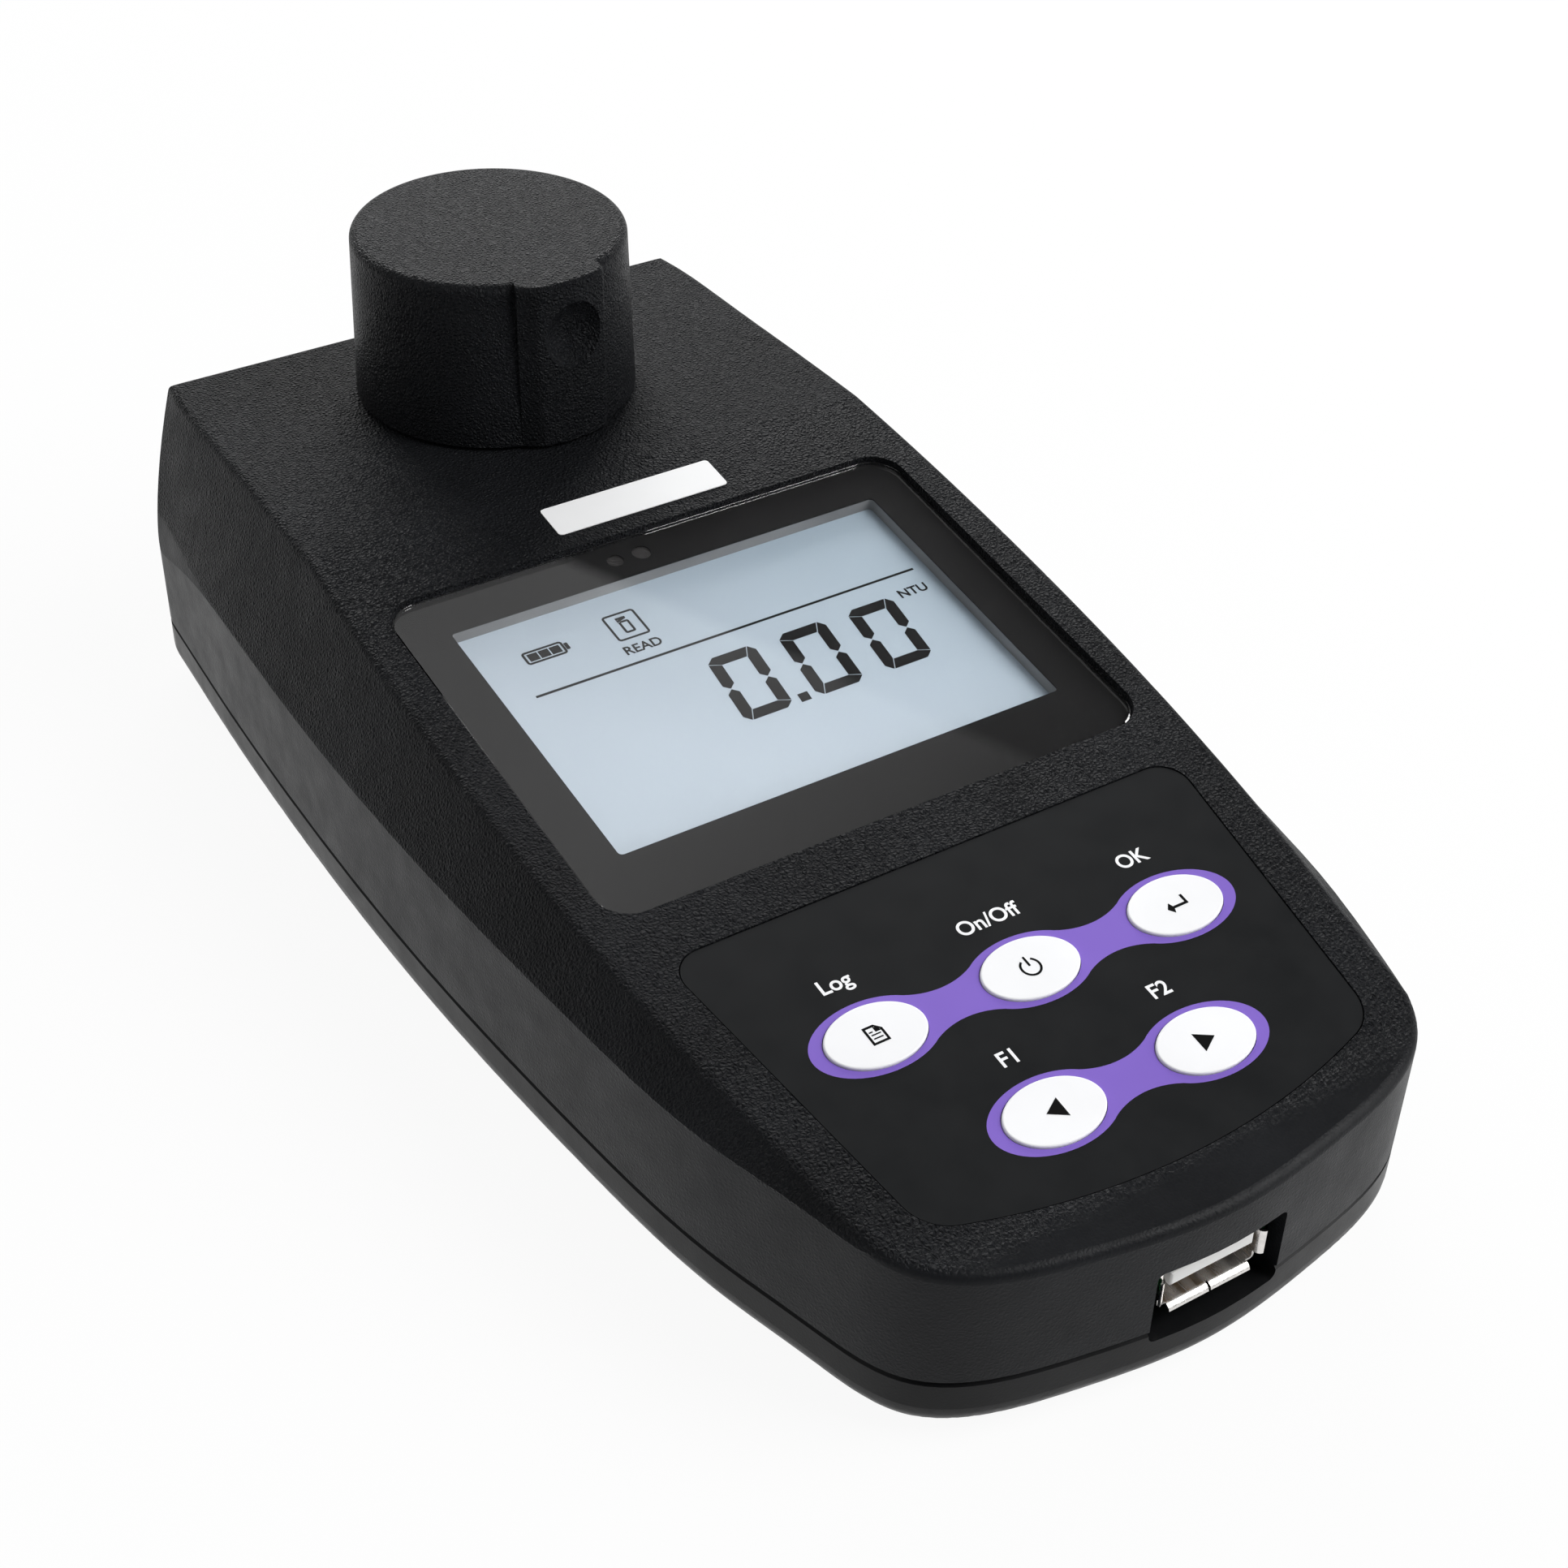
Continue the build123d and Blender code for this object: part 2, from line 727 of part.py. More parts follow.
def key_surround(row):
    band = surround_band(row)
    for place in row:
        band -= key_oval(place, key_gap, key_gap)
    return sunk(band, keypad_sink, surround_thickness)


def key(place):
    cap = sunk(key_oval(place), -key_rise, key_rise + key_flange_depth + key_flange_thickness)
    cap = fillet(cap.faces().sort_by(Axis.Z)[-1].edges(), key_edge_radius)
    cap += sunk(key_oval(place, key_flange, key_flange), key_flange_depth, key_flange_thickness)
    stem_top = key_flange_depth + root
    return cap + sunk(spot(*place, Circle(key_stem_radius)), stem_top, key_stem_depth - stem_top)


def tact_switch(place):
    body_depth = switch_depth + switch_plunger_height
    body = sunk(spot(*place, RectangleRounded(switch_size, switch_size, 0.5)), body_depth, switch_height)
    return body + sunk(spot(*place, Circle(switch_plunger_radius)), switch_depth, switch_plunger_height)


def usb_lip(length, reach, shift=0.0):
    """Curled lip on the lower edge of a tube round the Y axis, whose sheet lies at -reach."""
    inner = usb_lip_radius - usb_metal
    turn = math.radians(180 - (90 - usb_lip_angle))
    far = 2 * usb_lip_radius
    wedge = Polyline((0, 0), (0, far), (-far, far), (far * math.cos(turn), far * math.sin(turn)), close=True)
    section = (Circle(usb_lip_radius) - Circle(inner)) & make_face(wedge)
    plane = Plane(origin=(shift, usb_shell_y, -reach - inner), x_dir=(0, 1, 0), z_dir=(1, 0, 0))
    return extrude(plane * section, amount=length / 2, both=True)


def usb_shell():
    outer = RectangleRounded(usb_width, usb_height, usb_corner_radius)
    inner = RectangleRounded(usb_width - 2 * usb_metal, usb_height - 2 * usb_metal, usb_corner_radius - usb_metal)
    tube = extrude(Plane.XZ.offset(-usb_shell_y) * (outer - inner), amount=-usb_length)
    half_split = (usb_lower_lip_length + usb_lower_lip_split) / 2
    height, width = usb_height / 2, usb_width / 2
    lips = [usb_lip(usb_lower_lip_length, height, side * half_split) for side in (-1, 1)]
    lips.append(Rot(0, 180, 0) * usb_lip(2 * usb_lower_lip_length, height))
    lips += [Rot(0, turn, 0) * usb_lip(usb_side_lip_length, width) for turn in (-90, 90)]
    return Pos(0, 0, usb_middle_z) * joined([tube] + lips)


def usb_tongue():
    end = usb_shell_y + usb_length
    half_width = usb_tongue_width / 2
    low = usb_tongue_top - usb_tongue_height
    tongue = block((-half_width, half_width), (usb_tongue_front, end), (low, usb_tongue_top))
    front = [e for e in tongue.edges() if abs(e.center().Y - usb_tongue_front) < 0.01]
    tongue = fillet(front, usb_metal)
    half_block = usb_width / 2 - usb_metal
    floor = main_board_top + usb_metal
    ceiling = main_board_top + usb_height - usb_metal
    body = block((-half_block, half_block), (end - usb_block_length, end), (floor, ceiling))
    lengthwise = body.edges().filter_by(Axis.Y)
    return tongue + fillet(lengthwise, usb_corner_radius - usb_metal)


def usb_contacts():
    top = usb_tongue_top - usb_tongue_height
    start = usb_tongue_front + usb_contact_setback
    half = usb_contact_width / 2
    return group([block((x - half, x + half), (start, start + usb_contact_length), (top - usb_contact_thickness, top))
                  for x in usb_contact_places])


def cap_pad():
    """Raised pad on the front of the cap, soft on its left edge and crisp on its right."""
    outer_radius = cap_radius + cap_pad_rise
    inner = cap_radius - cap_wall

    def at(degrees, radius):
        angle = math.radians(-90 + degrees)
        return (radius * math.cos(angle), radius * math.sin(angle))

    left = [at(-cap_pad_left[0], cap_radius), at(-cap_pad_left[1], outer_radius)]
    right = [at(cap_pad_right[1], outer_radius), at(cap_pad_right[0], cap_radius)]
    ends = (at(cap_pad_right[0], inner), at(-cap_pad_left[0], inner))
    edge = Polyline(*right, *ends, *left) + ThreePointArc(left[1], (0, -outer_radius), right[0])
    pad = make_face(edge)
    pad = fillet([v for v in pad.vertices() if abs(v.X - left[1][0]) < 0.01 and v.Y < left[0][1]], cap_pad_left_radius)
    pad = fillet([v for v in pad.vertices() if abs(v.X - right[0][0]) < 0.01 and v.Y < right[1][1]],
                 cap_pad_right_radius)
    pad = extrude(Pos(0, well_y, cap_z) * pad, amount=cap_height)
    top = [e for e in pad.faces().sort_by(Axis.Z)[-1].edges() if e.center().Y < well_y - cap_top_radius + 1]
    return fillet(top, cap_pad_edge_radius)


def light_shield_cap():
    profile = Polyline((0, 0), (cap_radius, 0), (cap_top_radius, cap_height), (0, cap_height), close=True)
    cap = revolve(Plane.XZ * make_face(profile), Axis.Z)
    cap = Pos(0, well_y, cap_z) * cap
    cap = fillet(cap.faces().sort_by(Axis.Z)[-1].edges(), cap_edge_radius)
    cap += cap_pad()
    cap -= column(cap_top_radius - cap_wall, cap_z - 1, cap_top_z - cap_top_wall, (0, well_y))
    dimple_z = cap_top_z - cap_dimple_drop
    reach = cap_radius + cap_pad_rise + math.sqrt(cap_dimple_sphere ** 2 - cap_dimple_radius ** 2)
    ball = Pos(0, -reach, dimple_z) * Sphere(cap_dimple_sphere)
    return cap - Pos(0, well_y, 0) * Rot(0, 0, cap_dimple_turn) * ball


def cap_liner():
    outer = cap_top_radius - cap_wall - liner_gap
    ring = Circle(outer) - Circle(outer - liner_wall)
    return extrude(Pos(0, well_y, cap_z) * ring, amount=liner_length)


def well_gasket():
    ring = Circle(gasket_outer_radius) - Circle(gasket_inner_radius)
    return extrude(Pos(0, well_y, deck_z + gasket_proud - gasket_thickness) * ring, amount=gasket_thickness)


def sample_chamber():
    place = (0, well_y)
    body = column(well_body_radius, floor_z, deck_z - deck_wall - well_body_gap, place)
    body += column(well_neck_radius, floor_z, well_neck_z, place)
    for x in (-well_ear_x, well_ear_x):
        low = well_ear_top - well_ear_thickness
        body += column(well_ear_radius, low, well_ear_top, (x, well_y))
        arm = (well_y - well_ear_radius, well_y + well_ear_radius)
        body += block((min(x, 0), max(x, 0)), arm, (low, well_ear_top))
        body -= column(board_screw_radius + board_screw_play, low - 1, well_ear_top + 1, (x, well_y))
    body -= column(well_bore_radius, well_floor_z, well_neck_z + 1, place)
    mouth = [e for e in body.edges().filter_by(GeomType.CIRCLE) if e.center().Z > well_neck_z - 0.01]
    body = chamfer([e for e in mouth if e.radius < well_neck_radius - 0.01], well_mouth_chamfer)
    for side in (lamp_side, transmission_side, scatter_side):
        body -= rod(side, port_radius, -well_body_radius, 1)
    return body


def chamber_screws():
    low = well_ear_top - well_ear_thickness
    screws = []
    for x in (-well_ear_x, well_ear_x):
        shank = column(board_screw_radius, low, low + board_screw_length, (x, well_y))
        head = column(board_screw_head_radius, low - board_screw_head_height, low, (x, well_y))
        screws.append(shank + head)
    return group(screws)


def holder(side):
    """Tube that carries a lamp or a detector against the outside of the well."""
    tube = rod(side, holder_radius, -holder_radius, holder_length)
    tube -= column(well_body_radius, 0, deck_z, (0, well_y))
    tube -= rod(side, holder_bore_radius, holder_stop_length, holder_length + 1)
    return tube - rod(side, port_radius, -holder_radius - 1, holder_length)


def lamp_led():
    start = holder_stop_length + lens_thickness + lamp_gap
    end = start + lamp_length
    dome = rod(lamp_side, lamp_radius, start, end)
    tip = [e for e in dome.edges() if abs(abs(e.center().X) - well_body_radius - start) < 0.01]
    dome = fillet(tip, lamp_radius * 0.9)
    flange = rod(lamp_side, lamp_flange_radius, end - lamp_flange_length, end)
    return dome + flange + pins(lamp_side, end - root)


def collimating_lens():
    start = holder_stop_length
    flat = rod(lamp_side, lens_radius, start, start + lens_thickness)
    rim = [e for e in flat.edges() if abs(abs(e.center().X) - well_body_radius - start - lens_thickness) < 0.01]
    return fillet(rim, lens_thickness * 0.6)


def detector(side):
    end = holder_stop_length + detector_length
    return rod(side, detector_radius, holder_stop_length, end) + pins(side, end - root)


def optics_board():
    half = optics_board_width / 2
    board = block((-half, half), (optics_board_front, optics_board_back),
                  (optics_board_z, optics_board_z + optics_board_height))
    for x in (-pin_spread, pin_spread):
        board -= rod(scatter_side, pin_hole_radius, holder_length, pin_end, x)
    return board


def main_board():
    half, nose = main_board_half_width, main_board_nose_half_width
    points = ((half, main_board_rear), (half, main_board_shoulder), (nose, main_board_shoulder),
              (nose, main_board_front))
    outline = Polyline(*points, *[(-x, y) for x, y in reversed(points)], close=True)
    board = make_face(outline)
    for place in main_screw_places:
        board -= Pos(*place) * Circle(board_screw_radius + board_screw_play)
    return extrude(Pos(0, 0, main_board_z) * board, amount=board_thickness)


def main_board_screws():
    low = main_board_top - board_screw_length
    shanks = [column(board_screw_radius, low, main_board_top, place) for place in main_screw_places]
    heads = [column(board_screw_head_radius, main_board_top, main_board_top + board_screw_head_height, place)
             for place in main_screw_places]
    return group([shank + head for shank, head in zip(shanks, heads)])


def board_chips():
    return group([Pos(x, y, main_board_top + height / 2) * Box(width, length, height)
                  for x, y, width, length, height in chip_specs])


def ribbon_start(down, board_depth):
    """The y and z under a socket that hangs from a board on the slope."""
    under = face_plane(board_depth + board_thickness + socket_height).from_local_coords((0, -down, 0))
    return under.Y, under.Z


def ribbon_routes():
    """For each ribbon: x, place of its upper socket, y of its lower socket, depth of its board."""
    display = (display_ribbon_x, display_ribbon_down, display_ribbon_y, display_board_depth)
    keypad = (keypad_ribbon_x, keypad_ribbon_down, keypad_ribbon_y, keypad_board_depth)
    return display, keypad


def board_sockets():
    outline = Rectangle(socket_width, socket_length)
    sockets = []
    for x, down, y, depth in ribbon_routes():
        sockets.append(sunk(spot(x, down, outline), depth + board_thickness, socket_height))
        sockets.append(extrude(Pos(x, y, main_board_top) * outline, amount=socket_height))
    return group(sockets)


def ribbon(x, down, low_y, depth):
    """Flat cable that drops from its upper socket, crosses and drops into the lower one."""
    high_y, high_z = ribbon_start(down, depth)
    high_z -= ribbon_thickness * math.tan(slope)
    low_z = main_board_top + socket_height
    route = FilletPolyline((high_y, high_z), (high_y, ribbon_level), (low_y, ribbon_level), (low_y, low_z),
                           radius=ribbon_bend)
    band = trace(route, ribbon_thickness)
    plane = Plane(origin=(x, 0, 0), x_dir=(0, 1, 0), z_dir=(1, 0, 0))
    return extrude(plane * band, amount=ribbon_width / 2, both=True)


def cell_places():
    """The y of each cell and the side, +1 or -1, to which its raised end points."""
    middle = (cell_count - 1) / 2
    return [((i - middle) * cell_pitch, 1 if i % 2 == 0 else -1) for i in range(cell_count)]


def lying(radius, start, end, y):
    """Round bar along X through the middle of a cell."""
    plane = Plane(origin=(start, y, cell_z), x_dir=(0, 1, 0), z_dir=(1, 0, 0))
    return extrude(plane * Circle(radius), amount=end - start)


def battery_cells():
    cells = []
    end = tray_inner_width / 2 - contact_thickness
    for y, side in cell_places():
        body = lying(cell_radius, side * (end - cell_length), side * (end - cell_nub_length), y)
        body = fillet(body.edges().filter_by(GeomType.CIRCLE), root)
        cells.append(body + lying(cell_nub_radius, side * (end - cell_nub_length - root), side * end, y))
    return group(cells)


def battery_springs():
    springs = []
    end = tray_inner_width / 2 - contact_thickness - spring_wire_radius
    height = spring_length - 2 * spring_wire_radius
    for y, side in cell_places():
        coil = Helix(height / spring_turns, height, spring_radius, center=(-side * end, y, cell_z),
                     direction=(side, 0, 0))
        wire = Plane(origin=coil @ 0, z_dir=coil % 0) * Circle(spring_wire_radius)
        springs.append(sweep(wire, path=coil, is_frenet=True))
    return group(springs)


def battery_plates():
    """End contacts: neighbouring cells share one plate, the first and last have their own."""
    end = tray_inner_width / 2
    low, high = cell_z - contact_height / 2, cell_z + contact_height / 2
    rows = [y for y, _ in cell_places()]
    half = contact_width / 2
    plates = []
    for side in (-1, 1):
        first = 0 if side > 0 else -1
        for i in range(first, cell_count, 2):
            mates = rows[max(i, 0):i + 2]
            x_range = sorted((side * end, side * (end - contact_thickness)))
            plates.append(block(x_range, (mates[0] - half, mates[-1] + half), (low, high)))
    return group(plates)


def battery_tray():
    half_width, half_length = tray_inner_width / 2, tray_inner_length / 2
    wide, long = half_width + tray_wall, half_length + tray_wall
    tray = block((-wide, wide), (-long, long), (floor_z, tray_roof_z + tray_wall))
    tray = fillet(tray.edges().filter_by(Axis.Z), tray_wall)
    tray -= block((-half_width, half_width), (-half_length, half_length), (floor_z - 1, tray_roof_z))
    slot_half = door_tab_width / 2 + door_tab_slot_gap
    slot_top = floor_z + math.hypot(door_tab_lift + door_tab_thickness, door_tab_reach) + floor_wall / 2
    for x in (-door_tab_x, door_tab_x):
        tray -= block((x - slot_half, x + slot_half), (-long - 1, -half_length + 1), (floor_z - 1, slot_top))
    return tray


def battery_door():
    half_width, half_length = door_width / 2, door_length / 2
    door = block((-half_width, half_width), (-half_length, half_length), (base_z, floor_z))
    tab_low = floor_z + door_tab_lift
    tab_high = tab_low + door_tab_thickness
    for x in (-door_tab_x, door_tab_x):
        x_range = (x - door_tab_width / 2, x + door_tab_width / 2)
        door += block(x_range, (-half_length, -half_length + door_tab_reach), (floor_z - root, tab_high))
        door += block(x_range, (-half_length - door_tab_reach, -half_length + root), (tab_low, tab_high))
    latch_end = half_length - door_latch_inset
    half_latch = door_latch_width / 2
    door += block((-half_latch, half_latch), (latch_end - door_latch_thickness, latch_end),
                  (floor_z - root, floor_z + door_latch_height))
    grip_sphere = (door_grip_radius ** 2 + door_grip_depth ** 2) / (2 * door_grip_depth)
    grip_z = base_z + door_grip_depth - grip_sphere
    return door - Pos(0, half_length - door_grip_inset, grip_z) * Sphere(grip_sphere)


def case_screws():
    cross = Rectangle(cross_length, cross_width) + Rectangle(cross_width, cross_length)
    screws = []
    for place in case_screw_places:
        low = case_screw_seat_z - case_screw_head_height
        screw = column(case_screw_head_radius, low, case_screw_seat_z, place)
        screw += column(case_screw_radius, case_screw_seat_z, case_screw_seat_z + case_screw_length, place)
        screws.append(screw - extrude(Pos(*place, low) * cross, amount=cross_depth))
    return group(screws)


def rubber_feet():
    feet = []
    for place in foot_places:
        foot = column(foot_radius, 0, base_z + foot_sink, place)
        feet.append(chamfer(foot.faces().sort_by(Axis.Z)[0].edges(), foot_chamfer))
    return group(feet)


def blank_label():
    outline = spot(label_x, label_down, RectangleRounded(label_width, label_length, root))
    return sunk(outline, -label_thickness, label_thickness)


rear_keys, front_keys = key_rows()
sensor_eye, status_eye = eyes()
display_route, keypad_route = ribbon_routes()
parts = {
    "upper_case": upper_case(),
    "lower_case": lower_case(),
    "case_screws": case_screws(),
    "rubber_feet": rubber_feet(),
    "display_window": display_window(),
    "window_mask": window_mask(),
    "lcd_bezel": lcd_bezel(),
    "lcd_panel": lcd_panel(),
    "lcd_backlight": lcd_backlight(),
    "light_sensor": eye_body(sensor_eye),
    "status_led": eye_body(status_eye),
    "display_board": slope_board(display_board_width, display_board_length, display_board_middle,
                                 display_board_depth, display_screw_places()),
    "display_board_screws": group([slope_screw(p, display_board_depth) for p in display_screw_places()]),
    "blank_label": blank_label(),
    "keypad_overlay": keypad_overlay(),
    "key_surround_rear": key_surround(rear_keys),
    "key_surround_front": key_surround(front_keys),
    "key_log": key(rear_keys[0]),
    "key_power": key(rear_keys[1]),
    "key_enter": key(rear_keys[2]),
    "key_left": key(front_keys[0]),
    "key_right": key(front_keys[1]),
    "tact_switches": group([tact_switch(place) for place in rear_keys + front_keys]),
    "keypad_board": slope_board(keypad_board_width, keypad_board_length, keypad_board_middle,
                                keypad_board_depth, keypad_screw_places()),
    "keypad_board_screws": group([slope_screw(p, keypad_board_depth) for p in keypad_screw_places()]),
    "main_board": main_board(),
    "main_board_screws": main_board_screws(),
    "board_chips": board_chips(),
    "board_sockets": board_sockets(),
    "display_ribbon": ribbon(*display_route),
    "keypad_ribbon": ribbon(*keypad_route),
    "usb_shell": usb_shell(),
    "usb_tongue": usb_tongue(),
    "usb_contacts": usb_contacts(),
    "sample_chamber": sample_chamber(),
    "chamber_screws": chamber_screws(),
    "well_gasket": well_gasket(),
    "lamp_holder": holder(lamp_side),
    "lamp_led": lamp_led(),
    "collimating_lens": collimating_lens(),
    "transmission_holder": holder(transmission_side),
    "transmission_detector": detector(transmission_side),
    "scatter_holder": holder(scatter_side),
    "scatter_detector": detector(scatter_side),
    "optics_board": optics_board(),
    "light_shield_cap": light_shield_cap(),
    "cap_liner": cap_liner(),
    "battery_tray": battery_tray(),
    "battery_cells": battery_cells(),
    "battery_springs": battery_springs(),
    "battery_plates": battery_plates(),
    "battery_door": battery_door(),
}

os.makedirs("parts", exist_ok=True)
for name, shape in parts.items():
    export_step(shape, f"parts/{name}.step")
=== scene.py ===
import json
import math

import bmesh
import bpy
from mathutils import Matrix, Vector


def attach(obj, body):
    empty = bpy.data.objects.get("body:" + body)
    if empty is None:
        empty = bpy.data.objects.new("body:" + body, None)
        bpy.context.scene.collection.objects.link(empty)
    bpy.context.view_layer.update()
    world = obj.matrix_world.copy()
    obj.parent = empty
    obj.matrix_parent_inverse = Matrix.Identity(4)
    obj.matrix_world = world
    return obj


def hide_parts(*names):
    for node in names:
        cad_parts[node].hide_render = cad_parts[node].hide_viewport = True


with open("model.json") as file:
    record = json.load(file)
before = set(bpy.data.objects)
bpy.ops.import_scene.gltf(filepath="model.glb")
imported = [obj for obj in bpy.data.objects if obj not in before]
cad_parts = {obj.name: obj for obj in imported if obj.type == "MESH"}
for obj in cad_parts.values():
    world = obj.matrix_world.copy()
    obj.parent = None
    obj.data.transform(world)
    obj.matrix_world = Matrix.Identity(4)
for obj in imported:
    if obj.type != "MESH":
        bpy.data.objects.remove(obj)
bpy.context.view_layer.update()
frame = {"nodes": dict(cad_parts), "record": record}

MM = 0.001

# Sizes down to the camera are in millimetres. The sloping face carries the display and the keys, and
# starts at the crease
SLOPE = math.radians(7.85)
CREASE_Y = 40.0
CREASE_Z = 42.1

# Depths below the sloping face
LCD_DEPTH = 3.35
OVERLAY_DEPTH = 0.1
KEY_DEPTH = -0.25
PRINT_THICKNESS = 0.03

# The display's pane: the depth of its middle, and how far its lower face stays off the print below it
PANE_MIDDLE = 1.1
PANE_GAP = 0.03

# Print on the display: a place is x and the distance down the slope from the crease
DIGIT_COUNT = 3
DIGIT_WIDTH = 6.85
DIGIT_HEIGHT = 11.6
DIGIT_LEAN = 0.10
DIGIT_STROKE = 1.6
DIGIT_CHAMFER = 0.95
DIGIT_GAP = 0.07
DIGIT_PITCH = 10.26
DIGIT_LEFT = -5.5
DIGIT_BASE = 46.6
POINT_SIZE = 1.4
POINT_GAP = 1.05
LINE_LEFT = -25.8
LINE_RIGHT = 28.8
LINE_DOWN = 31.7
LINE_WIDTH = 0.36
UNIT_PLACE = (26.35, 35.9)
UNIT_HEIGHT = 1.5
WORD_PLACE = (-9.8, 30.0)
WORD_HEIGHT = 1.5
ICON_STROKE = 0.3

# Battery sign: a frame with three cells, and a tip at its right end
BATTERY_PLACE = (-21.2, 25.25)
BATTERY_SIZE = (5.5, 2.3)
BATTERY_RADIUS = 0.45
BATTERY_CELLS = 3
BATTERY_SPARE_LENGTH = 0.9
BATTERY_SPARE_HEIGHT = 1.0
BATTERY_CELL_GAP = 0.18
BATTERY_TIP_REACH = 0.32
BATTERY_TIP_SIZE = (0.5, 1.2)
BATTERY_TIP_RADIUS = 0.15

# Sample cell in a frame: x, y, width, height and corner radius of its parts
VIAL_PLACE = (-9.78, 25.05)
VIAL_FRAME = (0, 0, 4.5, 4.9, 0.5)
VIAL_GLASS = (0.05, -0.25, 1.45, 2.3, 0.3)
VIAL_CAP = (-0.05, 1.4, 1.35, 0.42, 0.1)
VIAL_NECK_PLACE = (-0.55, 1.0)
VIAL_NECK_HEIGHT = 0.5

# Key places, x and distance down the slope, and the words behind them
KEYS = {
    "log_key": (-20.2, 95.95),
    "power_key": (0.0, 95.95),
    "enter_key": (20.2, 95.95),
    "left_key": (-9.4, 113.0),
    "right_key": (10.8, 113.0),
}
KEY_WORDS = {
    "log_key": "Log",
    "power_key": "On/Off",
    "enter_key": "OK",
    "left_key": "F1",
    "right_key": "F2",
}
KEY_WORD_RISE = 7.2
KEY_WORD_HEIGHT = 2.0

# Signs on the keys. A line of text on the sheet is given by x, y and width
PAGE_SIZE = (2.15, 2.5)
PAGE_FOLD = 0.75
PAGE_STROKE = 0.28
PAGE_CREASE_SHIFT = 0.1
PAGE_LINES = ((-0.42, 0.42, 0.5), (0, 0.0, 1.2), (0, -0.5, 1.2))
PAGE_LINE_HEIGHT = 0.16
PAGE_LINE_RADIUS = 0.07
POWER_RADIUS = 1.16
POWER_STROKE = 0.27
POWER_HALF_OPENING = 32
POWER_BAR_MIDDLE = 0.85
POWER_BAR_LENGTH = 1.4
POWER_BAR_RADIUS = 0.1
ARROW_TIP = -1.4
ARROW_BARB = -0.8
ARROW_NECK = -0.55
ARROW_LEVEL = -0.35
ARROW_HALF_HEAD = 0.75
ARROW_STROKE = 0.34
ARROW_CORNER = 1.1
ARROW_TOP = 0.9
TRIANGLE_TIP = 1.1
TRIANGLE_BACK = 1.05
TRIANGLE_HALF_HEIGHT = 1.3

# Letters: the share of the type size that capitals reach, and how much they are thickened
CAPITAL_SHARE = 0.72
LETTER_WEIGHT = 0.022

# Least sizes for drawn outlines
SMALLEST_RADIUS = 0.05
SHARPEST_MITRE = 0.3
MERGE_DISTANCE = 1e-4

# Camera
CAMERA_PLACE = Vector((-134.74, -209.32, 211.28)) * MM
CAMERA_TURN = math.radians(-33.515)
CAMERA_TILT = math.radians(90 - 37.886)
CAMERA_ROLL = math.radians(1.532)
SENSOR_WIDTH = 36.0
FOCAL_PIXELS = 3103.2
PHOTO_WIDTH = 1932.0
CLIP_START = 0.01
CLIP_END = 20

# Floor, in metres, and the share of it that shows as plain white
FLOOR_HALF_WIDTH = 3.0
FLOOR_COLOUR = (0.86, 0.86, 0.86, 1)
FLOOR_WHITE_SHARE = 0.93

# Lamps, in metres: place, target, size, and radiance
LAMPS = {
    "low_rear_box": ((0.50, 1.2, 0.60), (0, 0.05, 0.03), (1.3, 0.6), 6.0),
    "front_right_box": ((0.81, -0.68, 1.09), (0, 0, 0.03), (0.9, 0.9), 7.4),
    "low_right_box": ((0.88, -0.91, 0.36), (0, 0, 0.05), (0.6, 0.45), 5.0),
}

# Room, and the soft panel in it: two points of its lower edge as azimuth and elevation, the azimuth at
# which its right side has faded out, and how softly both edges fade
HORIZON_LEVEL = 0.3
ROOM_LEVEL = 0.05
ROOM_FADE = 0.3
PANEL_LEVEL = 0.45
PANEL_EDGE = ((34.5, 46.2), (39.0, 46.9))
PANEL_RIGHT = 56
PANEL_EDGE_FADE = 0.006
PANEL_SIDE_FADE = 0.2

# Surface texture, in metres: size of the grain, its depth, and the size of the larger unevenness
FINE_GRAIN = 0.00025
FINE_DEPTH = 0.00001
PRINT_GRAIN = 0.00012
PRINT_DEPTH = 0.000002
COLOUR_CLOUD = 0.018
POLISH_CLOUD = 0.005
POLISH_CHANGE = 0.05

# The lower wall of the housing is smoother than the leather grain above it, up to this height in metres
WALL_TOP = 0.0253
WALL_BLEND = 0.0004
WALL_GRAIN_SHARE = 0.12
WALL_SHINE = 1.6


# Node helpers

def new_material(name):
    material = bpy.data.materials.new(name)
    material.use_nodes = True
    tree = material.node_tree
    return material, tree, tree.nodes["Principled BSDF"]


def add(tree, kind, settings=None, **inputs):
    """A shader node with its settings, and its inputs linked or set.

    An underscore in an input's name stands for a space, and at3 stands for the input at place 3.
    """
    made = tree.nodes.new("ShaderNode" + kind)
    for name, value in (settings or {}).items():
        setattr(made, name, value)
    for name, value in inputs.items():
        place = int(name[2:]) if name.startswith("at") else name.replace("_", " ")
        fill(tree, made.inputs[place], value)
    return made


def fill(tree, socket, value):
    if isinstance(value, bpy.types.NodeSocket):
        tree.links.new(value, socket)
    else:
        socket.default_value = value


def object_place(tree, stretch=(1, 1, 1)):
    """Coordinates on the piece itself, in metres."""
    place = add(tree, "TexCoord").outputs["Object"]
    if stretch == (1, 1, 1):
        return place
    return add(tree, "Mapping", Vector=place, Scale=stretch).outputs["Vector"]


def noise(tree, place, size, detail=2.0, roughness=0.5):
    """Noise of a grain size in metres."""
    made = add(tree, "TexNoise", Vector=place, Scale=1 / size, Detail=detail, Roughness=roughness)
    return made.outputs["Fac"]


def spread(tree, value, low, high, start=0.3, end=0.7):
    """A value mapped from start..end to low..high."""
    made = add(tree, "MapRange", Value=value, From_Min=start, From_Max=end, To_Min=low, To_Max=high)
    return made.outputs["Result"]


